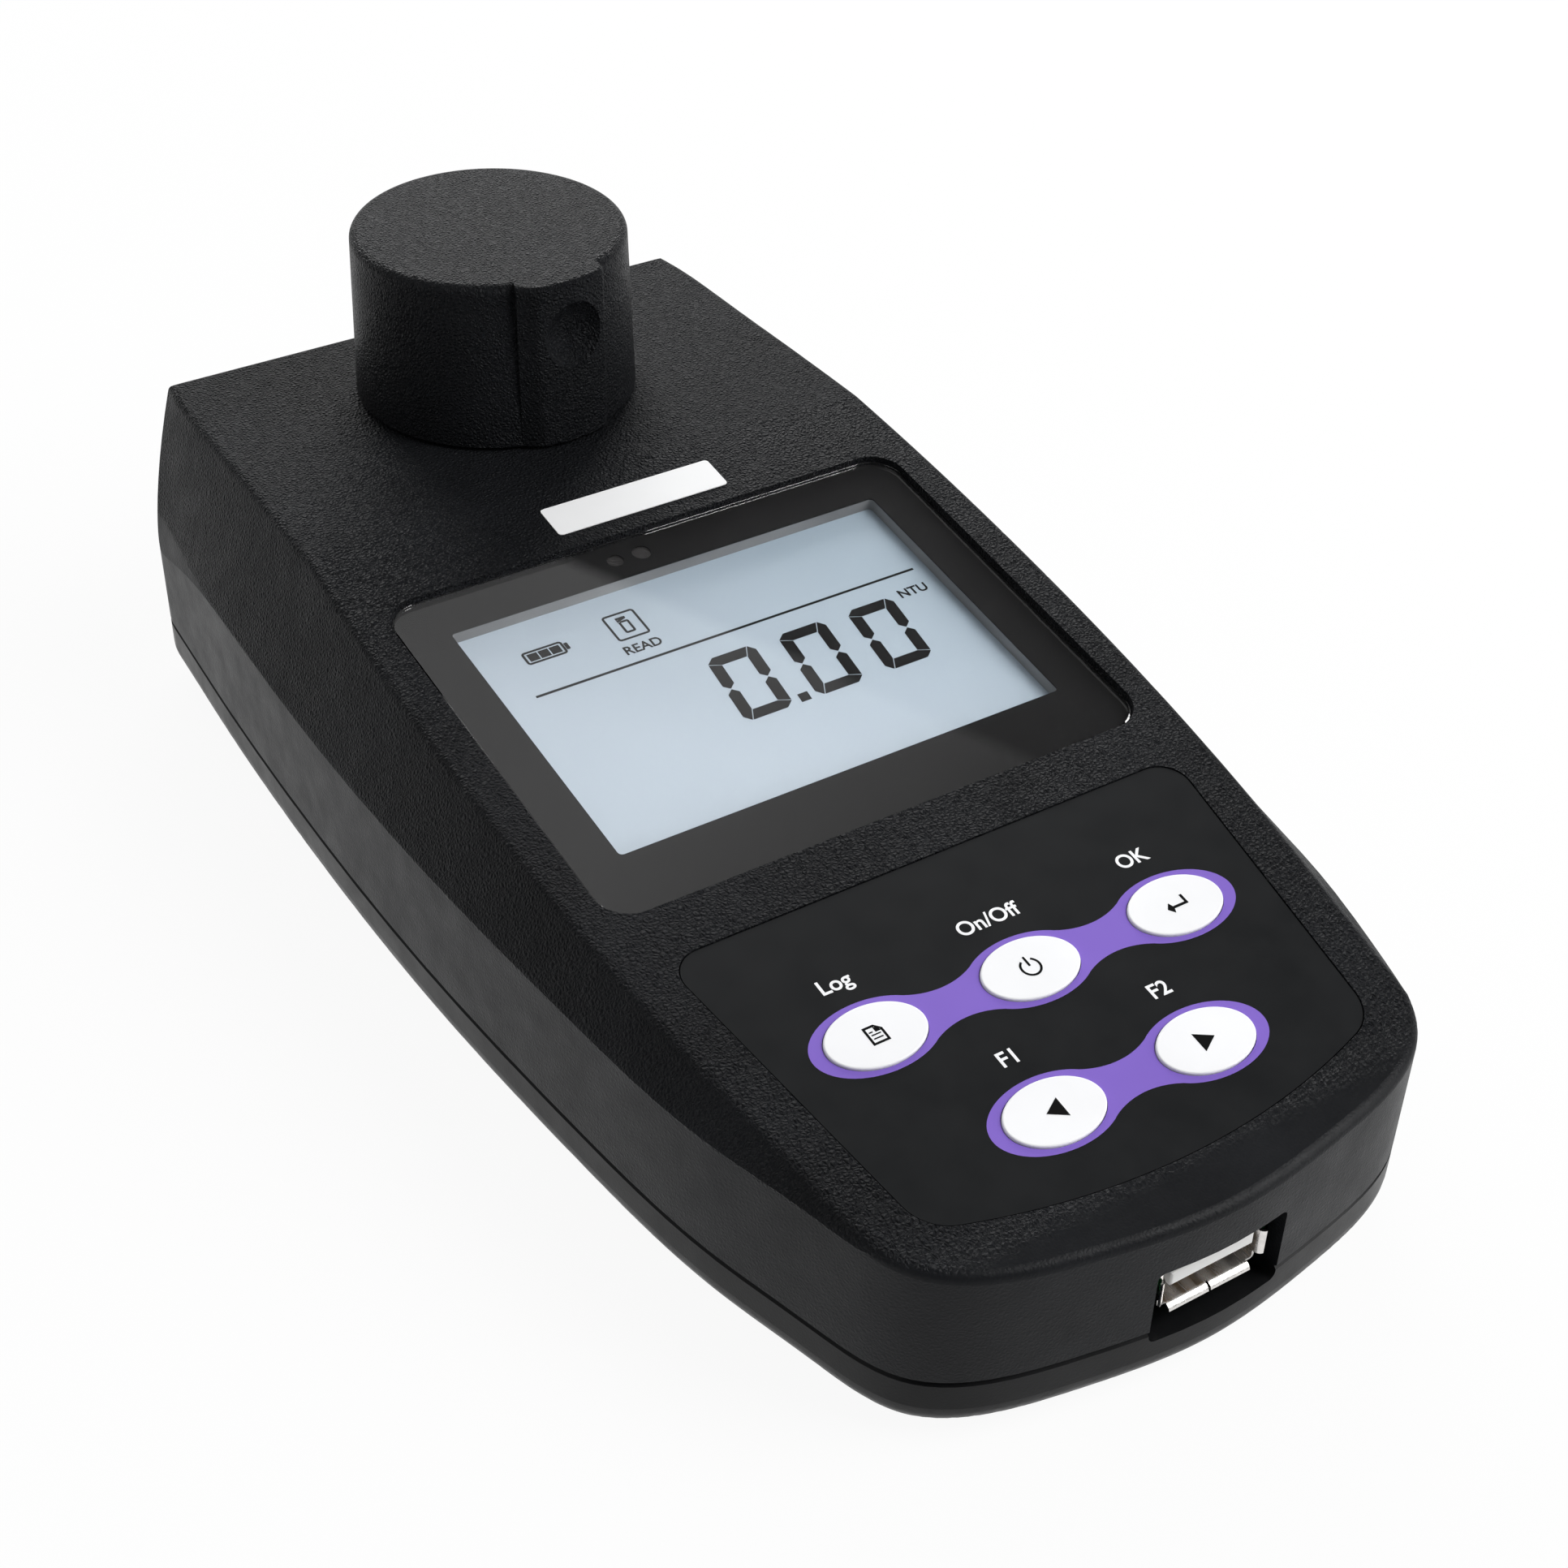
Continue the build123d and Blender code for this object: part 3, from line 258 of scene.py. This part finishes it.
def blend_colours(tree, factor, first, second):
    made = add(tree, "Mix", {"data_type": "RGBA"}, at0=factor, at6=(*first[:3], 1), at7=(*second[:3], 1))
    return made.outputs[2]


def combine(tree, operation, first, second):
    return add(tree, "Math", {"operation": operation}, at0=first, at1=second).outputs[0]


def dot(tree, vector, direction):
    made = add(tree, "VectorMath", {"operation": "DOT_PRODUCT"}, at0=vector, at1=direction)
    return made.outputs["Value"]


def height_of(tree, vector):
    return add(tree, "SeparateXYZ", Vector=vector).outputs["Z"]


def bump(tree, shader, height, distance, strength=1.0):
    made = add(tree, "Bump", Height=height, Distance=distance, Strength=strength)
    fill(tree, shader.inputs["Normal"], made.outputs["Normal"])


def show(tree, shader):
    """Makes a shader what the material shows."""
    fill(tree, tree.nodes["Material Output"].inputs["Surface"], shader.outputs[0])


# Materials

def leather_height(tree, place, cell):
    """Crinkled grain: creased cells, pulled about by noise, with finer wrinkles."""
    drift_scale = 0.45 / cell
    pull = 1.6 * cell
    crease_reach = 0.45
    wrinkle_size = cell * 0.45
    wrinkle_share = 0.7
    drift = add(tree, "TexNoise", Vector=place, Scale=drift_scale, Detail=3.0).outputs["Color"]
    moved = add(tree, "VectorMath", {"operation": "MULTIPLY_ADD"}, at0=drift, at1=(pull,) * 3, at2=place)
    pulled = moved.outputs[0]
    cells = add(tree, "TexVoronoi", {"feature": "DISTANCE_TO_EDGE"}, Vector=pulled, Scale=1 / cell)
    dome = spread(tree, cells.outputs["Distance"], 0, 1, 0.0, crease_reach)
    wrinkles = noise(tree, pulled, wrinkle_size, roughness=0.6)
    return combine(tree, "ADD", dome, combine(tree, "MULTIPLY", wrinkles, wrinkle_share))


def moulded(name, colour, roughness, specular=0.35, grain=FINE_GRAIN, depth=FINE_DEPTH, leather=False,
            mottle=0.25, smooth_below=None):
    """Moulded plastic: faintly uneven colour and polish over a fine or a leather grain.

    Below the height smooth_below the surface is smoother and shinier.
    """
    material, tree, shader = new_material(name)
    place = object_place(tree)
    cloud = noise(tree, place, COLOUR_CLOUD, detail=3.0)
    dark = [c * (1 - mottle) for c in colour]
    light = [c * (1 + mottle) for c in colour]
    fill(tree, shader.inputs["Base Color"], blend_colours(tree, spread(tree, cloud, 0, 1), dark, light))
    wear = noise(tree, place, POLISH_CLOUD, detail=4.0, roughness=0.6)
    polish = spread(tree, wear, roughness - POLISH_CHANGE, roughness + POLISH_CHANGE)
    fill(tree, shader.inputs["Roughness"], polish)
    shader.inputs["Specular IOR Level"].default_value = specular
    height = leather_height(tree, place, grain) if leather else noise(tree, place, grain)
    strength = 1.0
    if smooth_below is not None:
        level = height_of(tree, place)
        start = smooth_below - WALL_BLEND
        end = smooth_below + WALL_BLEND
        strength = spread(tree, level, WALL_GRAIN_SHARE, 1.0, start, end)
        shine = spread(tree, level, specular * WALL_SHINE, specular, start, end)
        fill(tree, shader.inputs["Specular IOR Level"], shine)
    bump(tree, shader, height, depth, strength)
    return material


def printed_film(name, colour, roughness, specular=0.4):
    """Ink or film: even colour with a faint cloud and a very fine tooth."""
    return moulded(name, colour, roughness, specular, PRINT_GRAIN, PRINT_DEPTH, mottle=0.04)


def metal(name, colour, roughness, brush=(1, 1, 1)):
    """Bare or plated metal, with streaks along the axis that brush leaves short."""
    streak_size = 0.0006
    streak_depth = 0.000003
    dark_share = 0.82
    material, tree, shader = new_material(name)
    place = object_place(tree, brush)
    streaks = noise(tree, place, streak_size, detail=3.0, roughness=0.6)
    dark = [c * dark_share for c in colour]
    fill(tree, shader.inputs["Base Color"], blend_colours(tree, spread(tree, streaks, 0, 1), dark, colour))
    shader.inputs["Metallic"].default_value = 1.0
    fill(tree, shader.inputs["Roughness"], spread(tree, streaks, roughness - 0.06, roughness + 0.08))
    bump(tree, shader, streaks, streak_depth)
    return material


def clear(name, tint, roughness=0.01, index=1.5):
    """Clear glass or plastic that lets the lamps' light through."""
    smear_size = 0.03
    smear_growth = 2.2
    material, tree, shader = new_material(name)
    smear = noise(tree, object_place(tree), smear_size, detail=3.0)
    fill(tree, shader.inputs["Roughness"], spread(tree, smear, roughness, roughness * smear_growth))
    shader.inputs["Base Color"].default_value = (*tint, 1)
    shader.inputs["Transmission Weight"].default_value = 1.0
    shader.inputs["IOR"].default_value = index
    see = add(tree, "BsdfTransparent", Color=(*tint, 1))
    lit = add(tree, "LightPath").outputs["Is Shadow Ray"]
    show(tree, add(tree, "MixShader", at0=lit, at1=shader.outputs[0], at2=see.outputs[0]))
    return material


def circuit_board(name, colour):
    """Solder mask over a pattern of tracks."""
    tracks_per_metre = 420.0
    track_gap = 0.035
    track_depth = 0.00003
    shine_size = 0.004
    brick = {"offset": 0.37, "squash": 1.6}
    material, tree, shader = new_material(name)
    place = object_place(tree)
    tracks = add(tree, "TexBrick", brick, Vector=place, Scale=tracks_per_metre, Mortar_Size=track_gap)
    light = [min(1, c * 1.9 + 0.02) for c in colour]
    fill(tree, shader.inputs["Base Color"], blend_colours(tree, tracks.outputs["Fac"], colour, light))
    shine = noise(tree, place, shine_size)
    fill(tree, shader.inputs["Roughness"], spread(tree, shine, 0.28, 0.4))
    bump(tree, shader, tracks.outputs["Fac"], track_depth)
    return material


def flat_cable(name, colour):
    """Flat cable: fine parallel wires under a clear skin."""
    waves_per_metre = 320.0
    wire_depth = 0.00005
    dark_share = 0.6
    material, tree, shader = new_material(name)
    place = object_place(tree)
    bands = {"bands_direction": "X"}
    wires = add(tree, "TexWave", bands, Vector=place, Scale=waves_per_metre, Distortion=0.0)
    dark = [c * dark_share for c in colour]
    fill(tree, shader.inputs["Base Color"], blend_colours(tree, wires.outputs["Fac"], dark, colour))
    shader.inputs["Roughness"].default_value = 0.35
    bump(tree, shader, wires.outputs["Fac"], wire_depth)
    return material


def cell_jacket(name, colour, half_length=0.0245):
    """Battery cell: printed sleeve with a lighter band, and bare metal at both ends."""
    band_share = 0.72
    band_colour = (0.55, 0.56, 0.58)
    metal_colour = (0.62, 0.62, 0.62, 1)
    scuff_size = 0.002
    scuff_depth = 0.00001
    material, tree, shader = new_material(name)
    place = object_place(tree)
    along = add(tree, "SeparateXYZ", Vector=place).outputs["X"]
    reach = combine(tree, "ABSOLUTE", along, 0)
    end = combine(tree, "GREATER_THAN", reach, half_length)
    band = combine(tree, "GREATER_THAN", reach, half_length * band_share)
    sleeve = blend_colours(tree, band, colour, band_colour)
    both = add(tree, "Mix", {"data_type": "RGBA"}, at0=end, at6=sleeve, at7=metal_colour)
    fill(tree, shader.inputs["Base Color"], both.outputs[2])
    fill(tree, shader.inputs["Metallic"], end)
    scuffs = noise(tree, place, scuff_size, detail=4.0)
    fill(tree, shader.inputs["Roughness"], spread(tree, scuffs, 0.22, 0.36))
    bump(tree, shader, scuffs, scuff_depth)
    return material


def lcd_face(name, colour, shaded_colour):
    """Pale reflective display with a fine pixel tooth, its colour darkened towards its rear right corner
    as painted shade.
    """
    shade_start = -0.017
    shade_end = 0.038
    cloud_size = 0.03
    cloud_shift = 0.006
    tooth_size = 0.0001
    tooth_depth = 0.000002
    material, tree, shader = new_material(name)
    place = object_place(tree)
    # Painted shade: towards the rear right corner the colour blends into the darker shaded colour, along a
    # line moved about by a faint noise cloud.
    across = dot(tree, place, (1, 1, 0))
    cloud = combine(tree, "MULTIPLY", noise(tree, place, cloud_size), cloud_shift)
    shade_share = spread(tree, combine(tree, "ADD", across, cloud), 0, 1, shade_start, shade_end)
    fill(tree, shader.inputs["Base Color"], blend_colours(tree, shade_share, colour, shaded_colour))
    tooth = noise(tree, place, tooth_size, detail=1.0)
    fill(tree, shader.inputs["Roughness"], spread(tree, tooth, 0.55, 0.65))
    bump(tree, shader, tooth, tooth_depth)
    return material


# One material for each of the record's slots

colours = {m["slot"]: m["base_color"][:3] for m in frame["record"]["materials"]}
HOUSING = (0.0085, 0.0091, 0.0106)

materials = {
    "housing": moulded("housing", HOUSING, 0.42, specular=0.07, grain=0.00055, depth=0.00022, leather=True,
                       smooth_below=WALL_TOP),
    "housing_base": moulded("housing_base", (0.0062, 0.0064, 0.0070), 0.36, specular=0.12, grain=0.0003,
                            depth=0.000012),
    "cap_plastic": moulded("cap_plastic", HOUSING, 0.36, specular=0.08, grain=0.0005, depth=0.0002,
                           leather=True),
    "black_plastic": moulded("black_plastic", (0.012, 0.012, 0.013), 0.6),
    "mask_print": printed_film("mask_print", (0.0045, 0.0045, 0.0047), 0.5, specular=0.05),
    "bezel": moulded("bezel", (0.16, 0.165, 0.17), 0.6),
    # The display's second colour is painted shade for its rear right corner.
    "lcd": lcd_face("lcd", (0.345, 0.400, 0.455), shaded_colour=(0.245, 0.305, 0.355)),
    "backlight": printed_film("backlight", (0.8, 0.82, 0.83), 0.4),
    "sensor": moulded("sensor", (0.018, 0.017, 0.017), 0.2, specular=0.4),
    "overlay": printed_film("overlay", (0.0086, 0.0093, 0.0101), 0.42, specular=0.14),
    "key_purple": printed_film("key_purple", colours["key_purple"], 0.4, specular=0.3),
    "key_white": printed_film("key_white", (0.92, 0.925, 0.94), 0.45, specular=0.3),
    "label": printed_film("label", (0.93, 0.935, 0.94), 0.4, specular=0.3),
    "shell_steel": metal("shell_steel", (0.78, 0.76, 0.74), 0.24, brush=(1, 0.12, 1)),
    "usb_insulator": moulded("usb_insulator", (0.72, 0.72, 0.71), 0.35, specular=0.5, mottle=0.04),
    "contact_gold": metal("contact_gold", (0.78, 0.52, 0.27), 0.28),
    "board_green": circuit_board("board_green", (0.02, 0.13, 0.045)),
    "chip": moulded("chip", (0.016, 0.016, 0.017), 0.55),
    "socket_white": moulded("socket_white", (0.72, 0.70, 0.64), 0.45, mottle=0.05),
    "switch_black": moulded("switch_black", (0.02, 0.02, 0.021), 0.5),
    "ribbon": flat_cable("ribbon", (0.62, 0.64, 0.66)),
    "screw_steel": metal("screw_steel", (0.52, 0.52, 0.53), 0.32),
    "spring_steel": metal("spring_steel", (0.66, 0.66, 0.66), 0.25),
    "optic_black": moulded("optic_black", (0.009, 0.009, 0.010), 0.75, specular=0.2),
    "detector": moulded("detector", (0.03, 0.02, 0.035), 0.12, specular=0.6),
    "rubber": moulded("rubber", (0.014, 0.014, 0.0145), 0.8, specular=0.3, grain=0.0002, depth=0.00002),
    "cell_jacket": cell_jacket("cell_jacket", (0.045, 0.05, 0.06)),
    "window": clear("window", (1.0, 1.0, 1.0), roughness=0.004, index=1.49),
    "lamp_clear": clear("lamp_clear", (0.9, 0.94, 1.0), roughness=0.05),
    "lens_glass": clear("lens_glass", (0.97, 0.99, 1.0)),
}

for part in frame["record"]["subparts"]:
    node = frame["nodes"][part["node"]]
    for slot in node.material_slots:
        slot.material = materials[part["material_slot"]]


def link(item):
    bpy.context.scene.collection.objects.link(item)


def thinner_pane():
    """The display's pane with its lower face clear of the print below it."""
    shape = frame["nodes"]["display_window"].data.copy()
    outward = Vector((0, -math.sin(SLOPE), math.cos(SLOPE)))
    crease = Vector((0, CREASE_Y, CREASE_Z)) * MM
    for point in shape.vertices:
        if (crease - point.co).dot(outward) > PANE_MIDDLE * MM:
            point.co += outward * PANE_GAP * MM
    pane = bpy.data.objects.new("pane", shape)
    link(pane)
    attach(pane, "root")
    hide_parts("display_window")


# Print drawn as flat outlines on the sloping face

def face_matrix(x, down, depth):
    """Place on the sloping face: local x to the right, y up the slope, z out of the face."""
    y = CREASE_Y + depth * math.sin(SLOPE) - down * math.cos(SLOPE)
    z = CREASE_Z - depth * math.cos(SLOPE) - down * math.sin(SLOPE)
    return Matrix.Translation(Vector((x, y, z)) * MM) @ Matrix.Rotation(SLOPE, 4, "X")


def raised_mesh(curve):
    """The filled curve as a mesh that stands on its own plane."""
    carrier = bpy.data.objects.new(curve.name, curve)
    link(carrier)
    bpy.context.view_layer.update()
    drawn = carrier.evaluated_get(bpy.context.evaluated_depsgraph_get())
    shape = bpy.data.meshes.new_from_object(drawn)
    bpy.data.objects.remove(carrier)
    shape.transform(Matrix.Translation((0, 0, PRINT_THICKNESS / 2)))
    form = bmesh.new()
    form.from_mesh(shape)
    bmesh.ops.remove_doubles(form, verts=form.verts, dist=MERGE_DISTANCE)
    form.to_mesh(shape)
    form.free()
    return shape


def print_piece(name, curve, place, slot_name, body="root"):
    """Lays a filled curve, drawn in millimetres, on the sloping face."""
    shape = raised_mesh(curve)
    shape.transform(Matrix.Scale(MM, 4))
    shape.transform(face_matrix(*place))
    shape.materials.clear()
    shape.materials.append(materials[slot_name])
    piece = bpy.data.objects.new(name, shape)
    link(piece)
    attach(piece, body)


def display_piece(name, curve, x, down):
    """Lays a filled curve on the display."""
    print_piece(name, curve, (x, down, LCD_DEPTH), "mask_print")


def outlines_curve(name, outlines):
    """Filled flat curve from closed outlines. An outline inside another is a hole."""
    curve = bpy.data.curves.new(name, "CURVE")
    curve.dimensions = "2D"
    curve.fill_mode = "BOTH"
    curve.extrude = PRINT_THICKNESS / 2
    for outline in outlines:
        spline = curve.splines.new("POLY")
        spline.points.add(len(outline) - 1)
        for point, (x, y) in zip(spline.points, outline):
            point.co = (x, y, 0, 1)
        spline.use_cyclic_u = True
    return curve


def text_curve(name, words, height):
    """Words set in the built-in face, capitals of the given height, centred on their baseline."""
    curve = bpy.data.curves.new(name, "FONT")
    curve.body = words
    curve.align_x = "CENTER"
    curve.size = height / CAPITAL_SHARE
    curve.extrude = PRINT_THICKNESS / 2
    curve.offset = height * LETTER_WEIGHT
    return curve


def rectangle(x, y, width, height):
    """Outline of a rectangle round its middle."""
    return [(x + i * width / 2, y + j * height / 2) for i, j in ((-1, -1), (1, -1), (1, 1), (-1, 1))]


def rounded(x, y, width, height, radius, steps=5):
    """Outline of a rectangle with round corners."""
    points = []
    for quarter, (i, j) in enumerate(((1, 1), (-1, 1), (-1, -1), (1, -1))):
        corner_x = x + i * (width / 2 - radius)
        corner_y = y + j * (height / 2 - radius)
        for step in range(steps + 1):
            angle = math.radians(90 * (quarter + step / steps))
            points.append((corner_x + radius * math.cos(angle), corner_y + radius * math.sin(angle)))
    return points


def ring(x, y, width, height, radius, stroke=ICON_STROKE):
    """Outer and inner outline of a frame with round corners."""
    inner_radius = max(radius - stroke, SMALLEST_RADIUS)
    inner = rounded(x, y, width - 2 * stroke, height - 2 * stroke, inner_radius)
    return [rounded(x, y, width, height, radius), inner]


def arc_band(radius, stroke, start, end, steps=28):
    """Outline of a bent bar round the origin, between two angles in degrees."""
    angles = [math.radians(start + (end - start) * i / steps) for i in range(steps + 1)]
    outer, inner = ([(reach * math.cos(a), reach * math.sin(a)) for a in angles]
                    for reach in (radius + stroke / 2, radius - stroke / 2))
    return outer + inner[::-1]


def stroke_band(points, stroke):
    """Outline of a thin bar along a bent line, with mitred corners."""
    line = [Vector(p) for p in points]
    sides = []
    for i, here in enumerate(line):
        before = (here - line[i - 1]).normalized() if i else (line[1] - here).normalized()
        after = (line[i + 1] - here).normalized() if i + 1 < len(line) else before
        square = Vector((-before.y, before.x))
        across = (square + Vector((-after.y, after.x))).normalized()
        reach = stroke / 2 / max(across.dot(square), SHARPEST_MITRE)
        sides.append((here + across * reach, here - across * reach))
    return [tuple(s[0]) for s in sides] + [tuple(s[1]) for s in reversed(sides)]


def lean(outline):
    return [(x + y * DIGIT_LEAN, y) for x, y in outline]


def digit_zero(left):
    """The six lit bars of a nought, mitred at the corners and pointed at the waist."""
    w, h, s, g, c = DIGIT_WIDTH, DIGIT_HEIGHT, DIGIT_STROKE, DIGIT_GAP, DIGIT_CHAMFER
    inner = w - s
    shoulder = (h + s) / 2
    top = [(0, h - c + g), (c, h), (w - c - g, h), (inner - g, h - s), (s + g, h - s)]
    upper = [(w - c + g, h), (w, h - c), (w, shoulder), (w - s / 2, h / 2 + g), (inner, shoulder),
             (inner, h - s - g), (inner + g, h - s)]
    lower = [(w, c + g), (w, h - shoulder), (w - s / 2, h / 2 - g), (inner, h - shoulder), (inner, s + g)]
    bars = [top, upper, lower]
    bars += [[(w - x, h - y) for x, y in bar] for bar in bars]
    return [[(left + x, y) for x, y in lean(bar)] for bar in bars]


def display_digits():
    """Three noughts, with a point after the first."""
    outlines = []
    for i in range(DIGIT_COUNT):
        outlines += digit_zero(DIGIT_LEFT + i * DIGIT_PITCH)
    point_x = DIGIT_LEFT + DIGIT_WIDTH + POINT_GAP + POINT_SIZE / 2
    outlines.append(lean(rectangle(point_x, POINT_SIZE / 2, POINT_SIZE, POINT_SIZE)))
    display_piece("display_digits", outlines_curve("digits", outlines), 0, DIGIT_BASE)


def display_line():
    bar = rectangle((LINE_LEFT + LINE_RIGHT) / 2, 0, LINE_RIGHT - LINE_LEFT, LINE_WIDTH)
    display_piece("display_line", outlines_curve("line", [bar]), 0, LINE_DOWN)


def display_battery():
    """Frame with its cells in a row and a tip at the right."""
    width, height = BATTERY_SIZE
    cell = (width - 2 * ICON_STROKE - BATTERY_SPARE_LENGTH) / BATTERY_CELLS
    outlines = ring(0, 0, width, height, BATTERY_RADIUS)
    for i in range(BATTERY_CELLS):
        x = (i - (BATTERY_CELLS - 1) / 2) * (cell + BATTERY_CELL_GAP)
        outlines.append(rectangle(x, 0, cell, height - BATTERY_SPARE_HEIGHT))
    outlines.append(rounded(width / 2 + BATTERY_TIP_REACH, 0, *BATTERY_TIP_SIZE, BATTERY_TIP_RADIUS))
    display_piece("display_battery", outlines_curve("battery", outlines), *BATTERY_PLACE)


def display_vial():
    """Sample cell with its cap, inside a frame."""
    outlines = ring(*VIAL_FRAME) + ring(*VIAL_GLASS)
    outlines.append(rounded(*VIAL_CAP))
    outlines.append(rectangle(*VIAL_NECK_PLACE, ICON_STROKE, VIAL_NECK_HEIGHT))
    display_piece("display_vial", outlines_curve("vial", outlines), *VIAL_PLACE)


def display_words():
    display_piece("display_word", text_curve("word", "READ", WORD_HEIGHT), *WORD_PLACE)
    display_piece("display_unit", text_curve("unit", "NTU", UNIT_HEIGHT), *UNIT_PLACE)


def page_icon():
    """Sheet of paper with a folded corner and three lines."""
    s = PAGE_STROKE
    right, top = PAGE_SIZE[0] / 2, PAGE_SIZE[1] / 2
    fold_x, fold_y = right - PAGE_FOLD, top - PAGE_FOLD
    edge = [(-right, top), (-right, -top), (right, -top), (right, fold_y), (fold_x, top)]
    inner = [(-right + s, top - s), (-right + s, -top + s), (right - s, -top + s),
             (right - s, fold_y - s * 0.4), (fold_x - s * 0.4, top - s)]
    crease_x, crease_y = fold_x - PAGE_CREASE_SHIFT, fold_y - PAGE_CREASE_SHIFT
    corner = stroke_band([(crease_x, top - s), (crease_x, crease_y), (right - s, crease_y)], s * 0.8)
    lines = [rounded(x, y, width, PAGE_LINE_HEIGHT, PAGE_LINE_RADIUS) for x, y, width in PAGE_LINES]
    return [edge, inner, corner] + lines


def power_icon():
    """Open ring with a short bar at its top."""
    arc = arc_band(POWER_RADIUS, POWER_STROKE, 90 + POWER_HALF_OPENING, 450 - POWER_HALF_OPENING)
    return [arc, rounded(0, POWER_BAR_MIDDLE, POWER_STROKE, POWER_BAR_LENGTH, POWER_BAR_RADIUS)]


def enter_icon():
    """Arrow that turns down and then points left."""
    low, high = ARROW_LEVEL - ARROW_STROKE / 2, ARROW_LEVEL + ARROW_STROKE / 2
    outer = ARROW_CORNER + ARROW_STROKE
    return [[(ARROW_TIP, ARROW_LEVEL), (ARROW_BARB, ARROW_LEVEL + ARROW_HALF_HEAD), (ARROW_NECK, high),
             (ARROW_CORNER, high), (ARROW_CORNER, ARROW_TOP), (outer, ARROW_TOP), (outer, low),
             (ARROW_NECK, low), (ARROW_BARB, ARROW_LEVEL - ARROW_HALF_HEAD)]]


def triangle_icon(way):
    """Triangle that points left (-1) or right (1)."""
    back = -way * TRIANGLE_BACK
    return [[(way * TRIANGLE_TIP, 0), (back, TRIANGLE_HALF_HEIGHT), (back, -TRIANGLE_HALF_HEIGHT)]]


def keypad_print():
    """Signs on the keys, and the words printed behind them."""
    icons = {"log_key": page_icon(), "power_key": power_icon(), "enter_key": enter_icon(),
             "left_key": triangle_icon(-1), "right_key": triangle_icon(1)}
    for key, (x, down) in KEYS.items():
        curve = outlines_curve(key, icons[key])
        print_piece(key + "_icon", curve, (x, down, KEY_DEPTH), "mask_print", body=key)
        word = text_curve(key + "_text", KEY_WORDS[key], KEY_WORD_HEIGHT)
        print_piece(key + "_word", word, (x, down - KEY_WORD_RISE, OVERLAY_DEPTH), "key_white")


thinner_pane()
display_digits()
display_line()
display_battery()
display_vial()
display_words()
keypad_print()


# Floor, light and camera

def floor_material():
    """Seen as white from above, lit and shadowed as a pale floor, and clear from below."""
    material, tree, shader = new_material("floor")
    shader.inputs["Base Color"].default_value = FLOOR_COLOUR
    shader.inputs["Roughness"].default_value = 0.9
    shader.inputs["Specular IOR Level"].default_value = 0.1
    glow = add(tree, "Emission", Color=(1, 1, 1, 1), Strength=1.0)
    rays = add(tree, "LightPath")
    seen = combine(tree, "MAXIMUM", rays.outputs["Is Camera Ray"], rays.outputs["Is Glossy Ray"])
    seen = combine(tree, "MAXIMUM", seen, rays.outputs["Is Transmission Ray"])
    share = combine(tree, "MULTIPLY", seen, FLOOR_WHITE_SHARE)
    white = add(tree, "MixShader", at0=share, at1=shader.outputs[0], at2=glow.outputs[0])
    below = add(tree, "NewGeometry").outputs["Backfacing"]
    through = add(tree, "BsdfTransparent")
    show(tree, add(tree, "MixShader", at0=below, at1=white.outputs[0], at2=through.outputs[0]))
    return material


def studio_floor():
    form = bmesh.new()
    bmesh.ops.create_grid(form, x_segments=8, y_segments=8, size=FLOOR_HALF_WIDTH)
    shape = bpy.data.meshes.new("floor")
    form.to_mesh(shape)
    form.free()
    shape.materials.append(floor_material())
    floor = bpy.data.objects.new("floor", shape)
    link(floor)


def softbox(name, place, target, size, radiance):
    """Rectangular lamp that faces the target and shines evenly."""
    lamp = bpy.data.lights.new(name, "AREA")
    lamp.shape = "RECTANGLE"
    lamp.size, lamp.size_y = size
    lamp.energy = radiance * math.pi * size[0] * size[1]
    holder = bpy.data.objects.new(name, lamp)
    link(holder)
    holder.location = place
    away = Vector(place) - Vector(target)
    holder.rotation_euler = away.to_track_quat("Z", "Y").to_euler()


def heading(azimuth, elevation):
    """Direction for an azimuth from the rear towards the right, and an elevation, in degrees."""
    turn, rise = math.radians(azimuth), math.radians(elevation)
    level = math.cos(rise)
    return Vector((math.sin(turn) * level, math.cos(turn) * level, math.sin(rise)))


def studio_world():
    """Pale horizon under a dark room, with one soft panel high up behind the object."""
    world = bpy.data.worlds.new("studio")
    bpy.context.scene.world = world
    world.use_nodes = True
    tree = world.node_tree
    way = add(tree, "TexCoord").outputs["Generated"]
    room = spread(tree, height_of(tree, way), HORIZON_LEVEL, ROOM_LEVEL, 0.0, ROOM_FADE)
    lower_edge = heading(*PANEL_EDGE[1]).cross(heading(*PANEL_EDGE[0])).normalized()
    right_edge = heading(PANEL_RIGHT - 90, 0)
    above = spread(tree, dot(tree, way, lower_edge), 0, PANEL_LEVEL, 0.0, PANEL_EDGE_FADE)
    beside = spread(tree, dot(tree, way, right_edge), 0, 1, 0.0, PANEL_SIDE_FADE)
    light = combine(tree, "ADD", room, combine(tree, "MULTIPLY", above, beside))
    fill(tree, tree.nodes["Background"].inputs["Color"], light)


def studio_camera():
    """Camera at the photograph's viewing angle."""
    lens = bpy.data.cameras.new("camera")
    lens.sensor_width = SENSOR_WIDTH
    lens.lens = SENSOR_WIDTH * FOCAL_PIXELS / PHOTO_WIDTH
    lens.clip_start, lens.clip_end = CLIP_START, CLIP_END
    camera = bpy.data.objects.new("camera", lens)
    link(camera)
    turn = Matrix.Rotation(CAMERA_TURN, 4, "Z") @ Matrix.Rotation(CAMERA_TILT, 4, "X")
    roll = Matrix.Rotation(CAMERA_ROLL, 4, "Z")
    camera.matrix_world = Matrix.Translation(CAMERA_PLACE) @ turn @ roll
    bpy.context.scene.camera = camera


studio_floor()
studio_world()
for lamp_name, (place, target, size, radiance) in LAMPS.items():
    softbox(lamp_name, place, target, size, radiance)
studio_camera()
bpy.context.scene.view_settings.view_transform = "Standard"
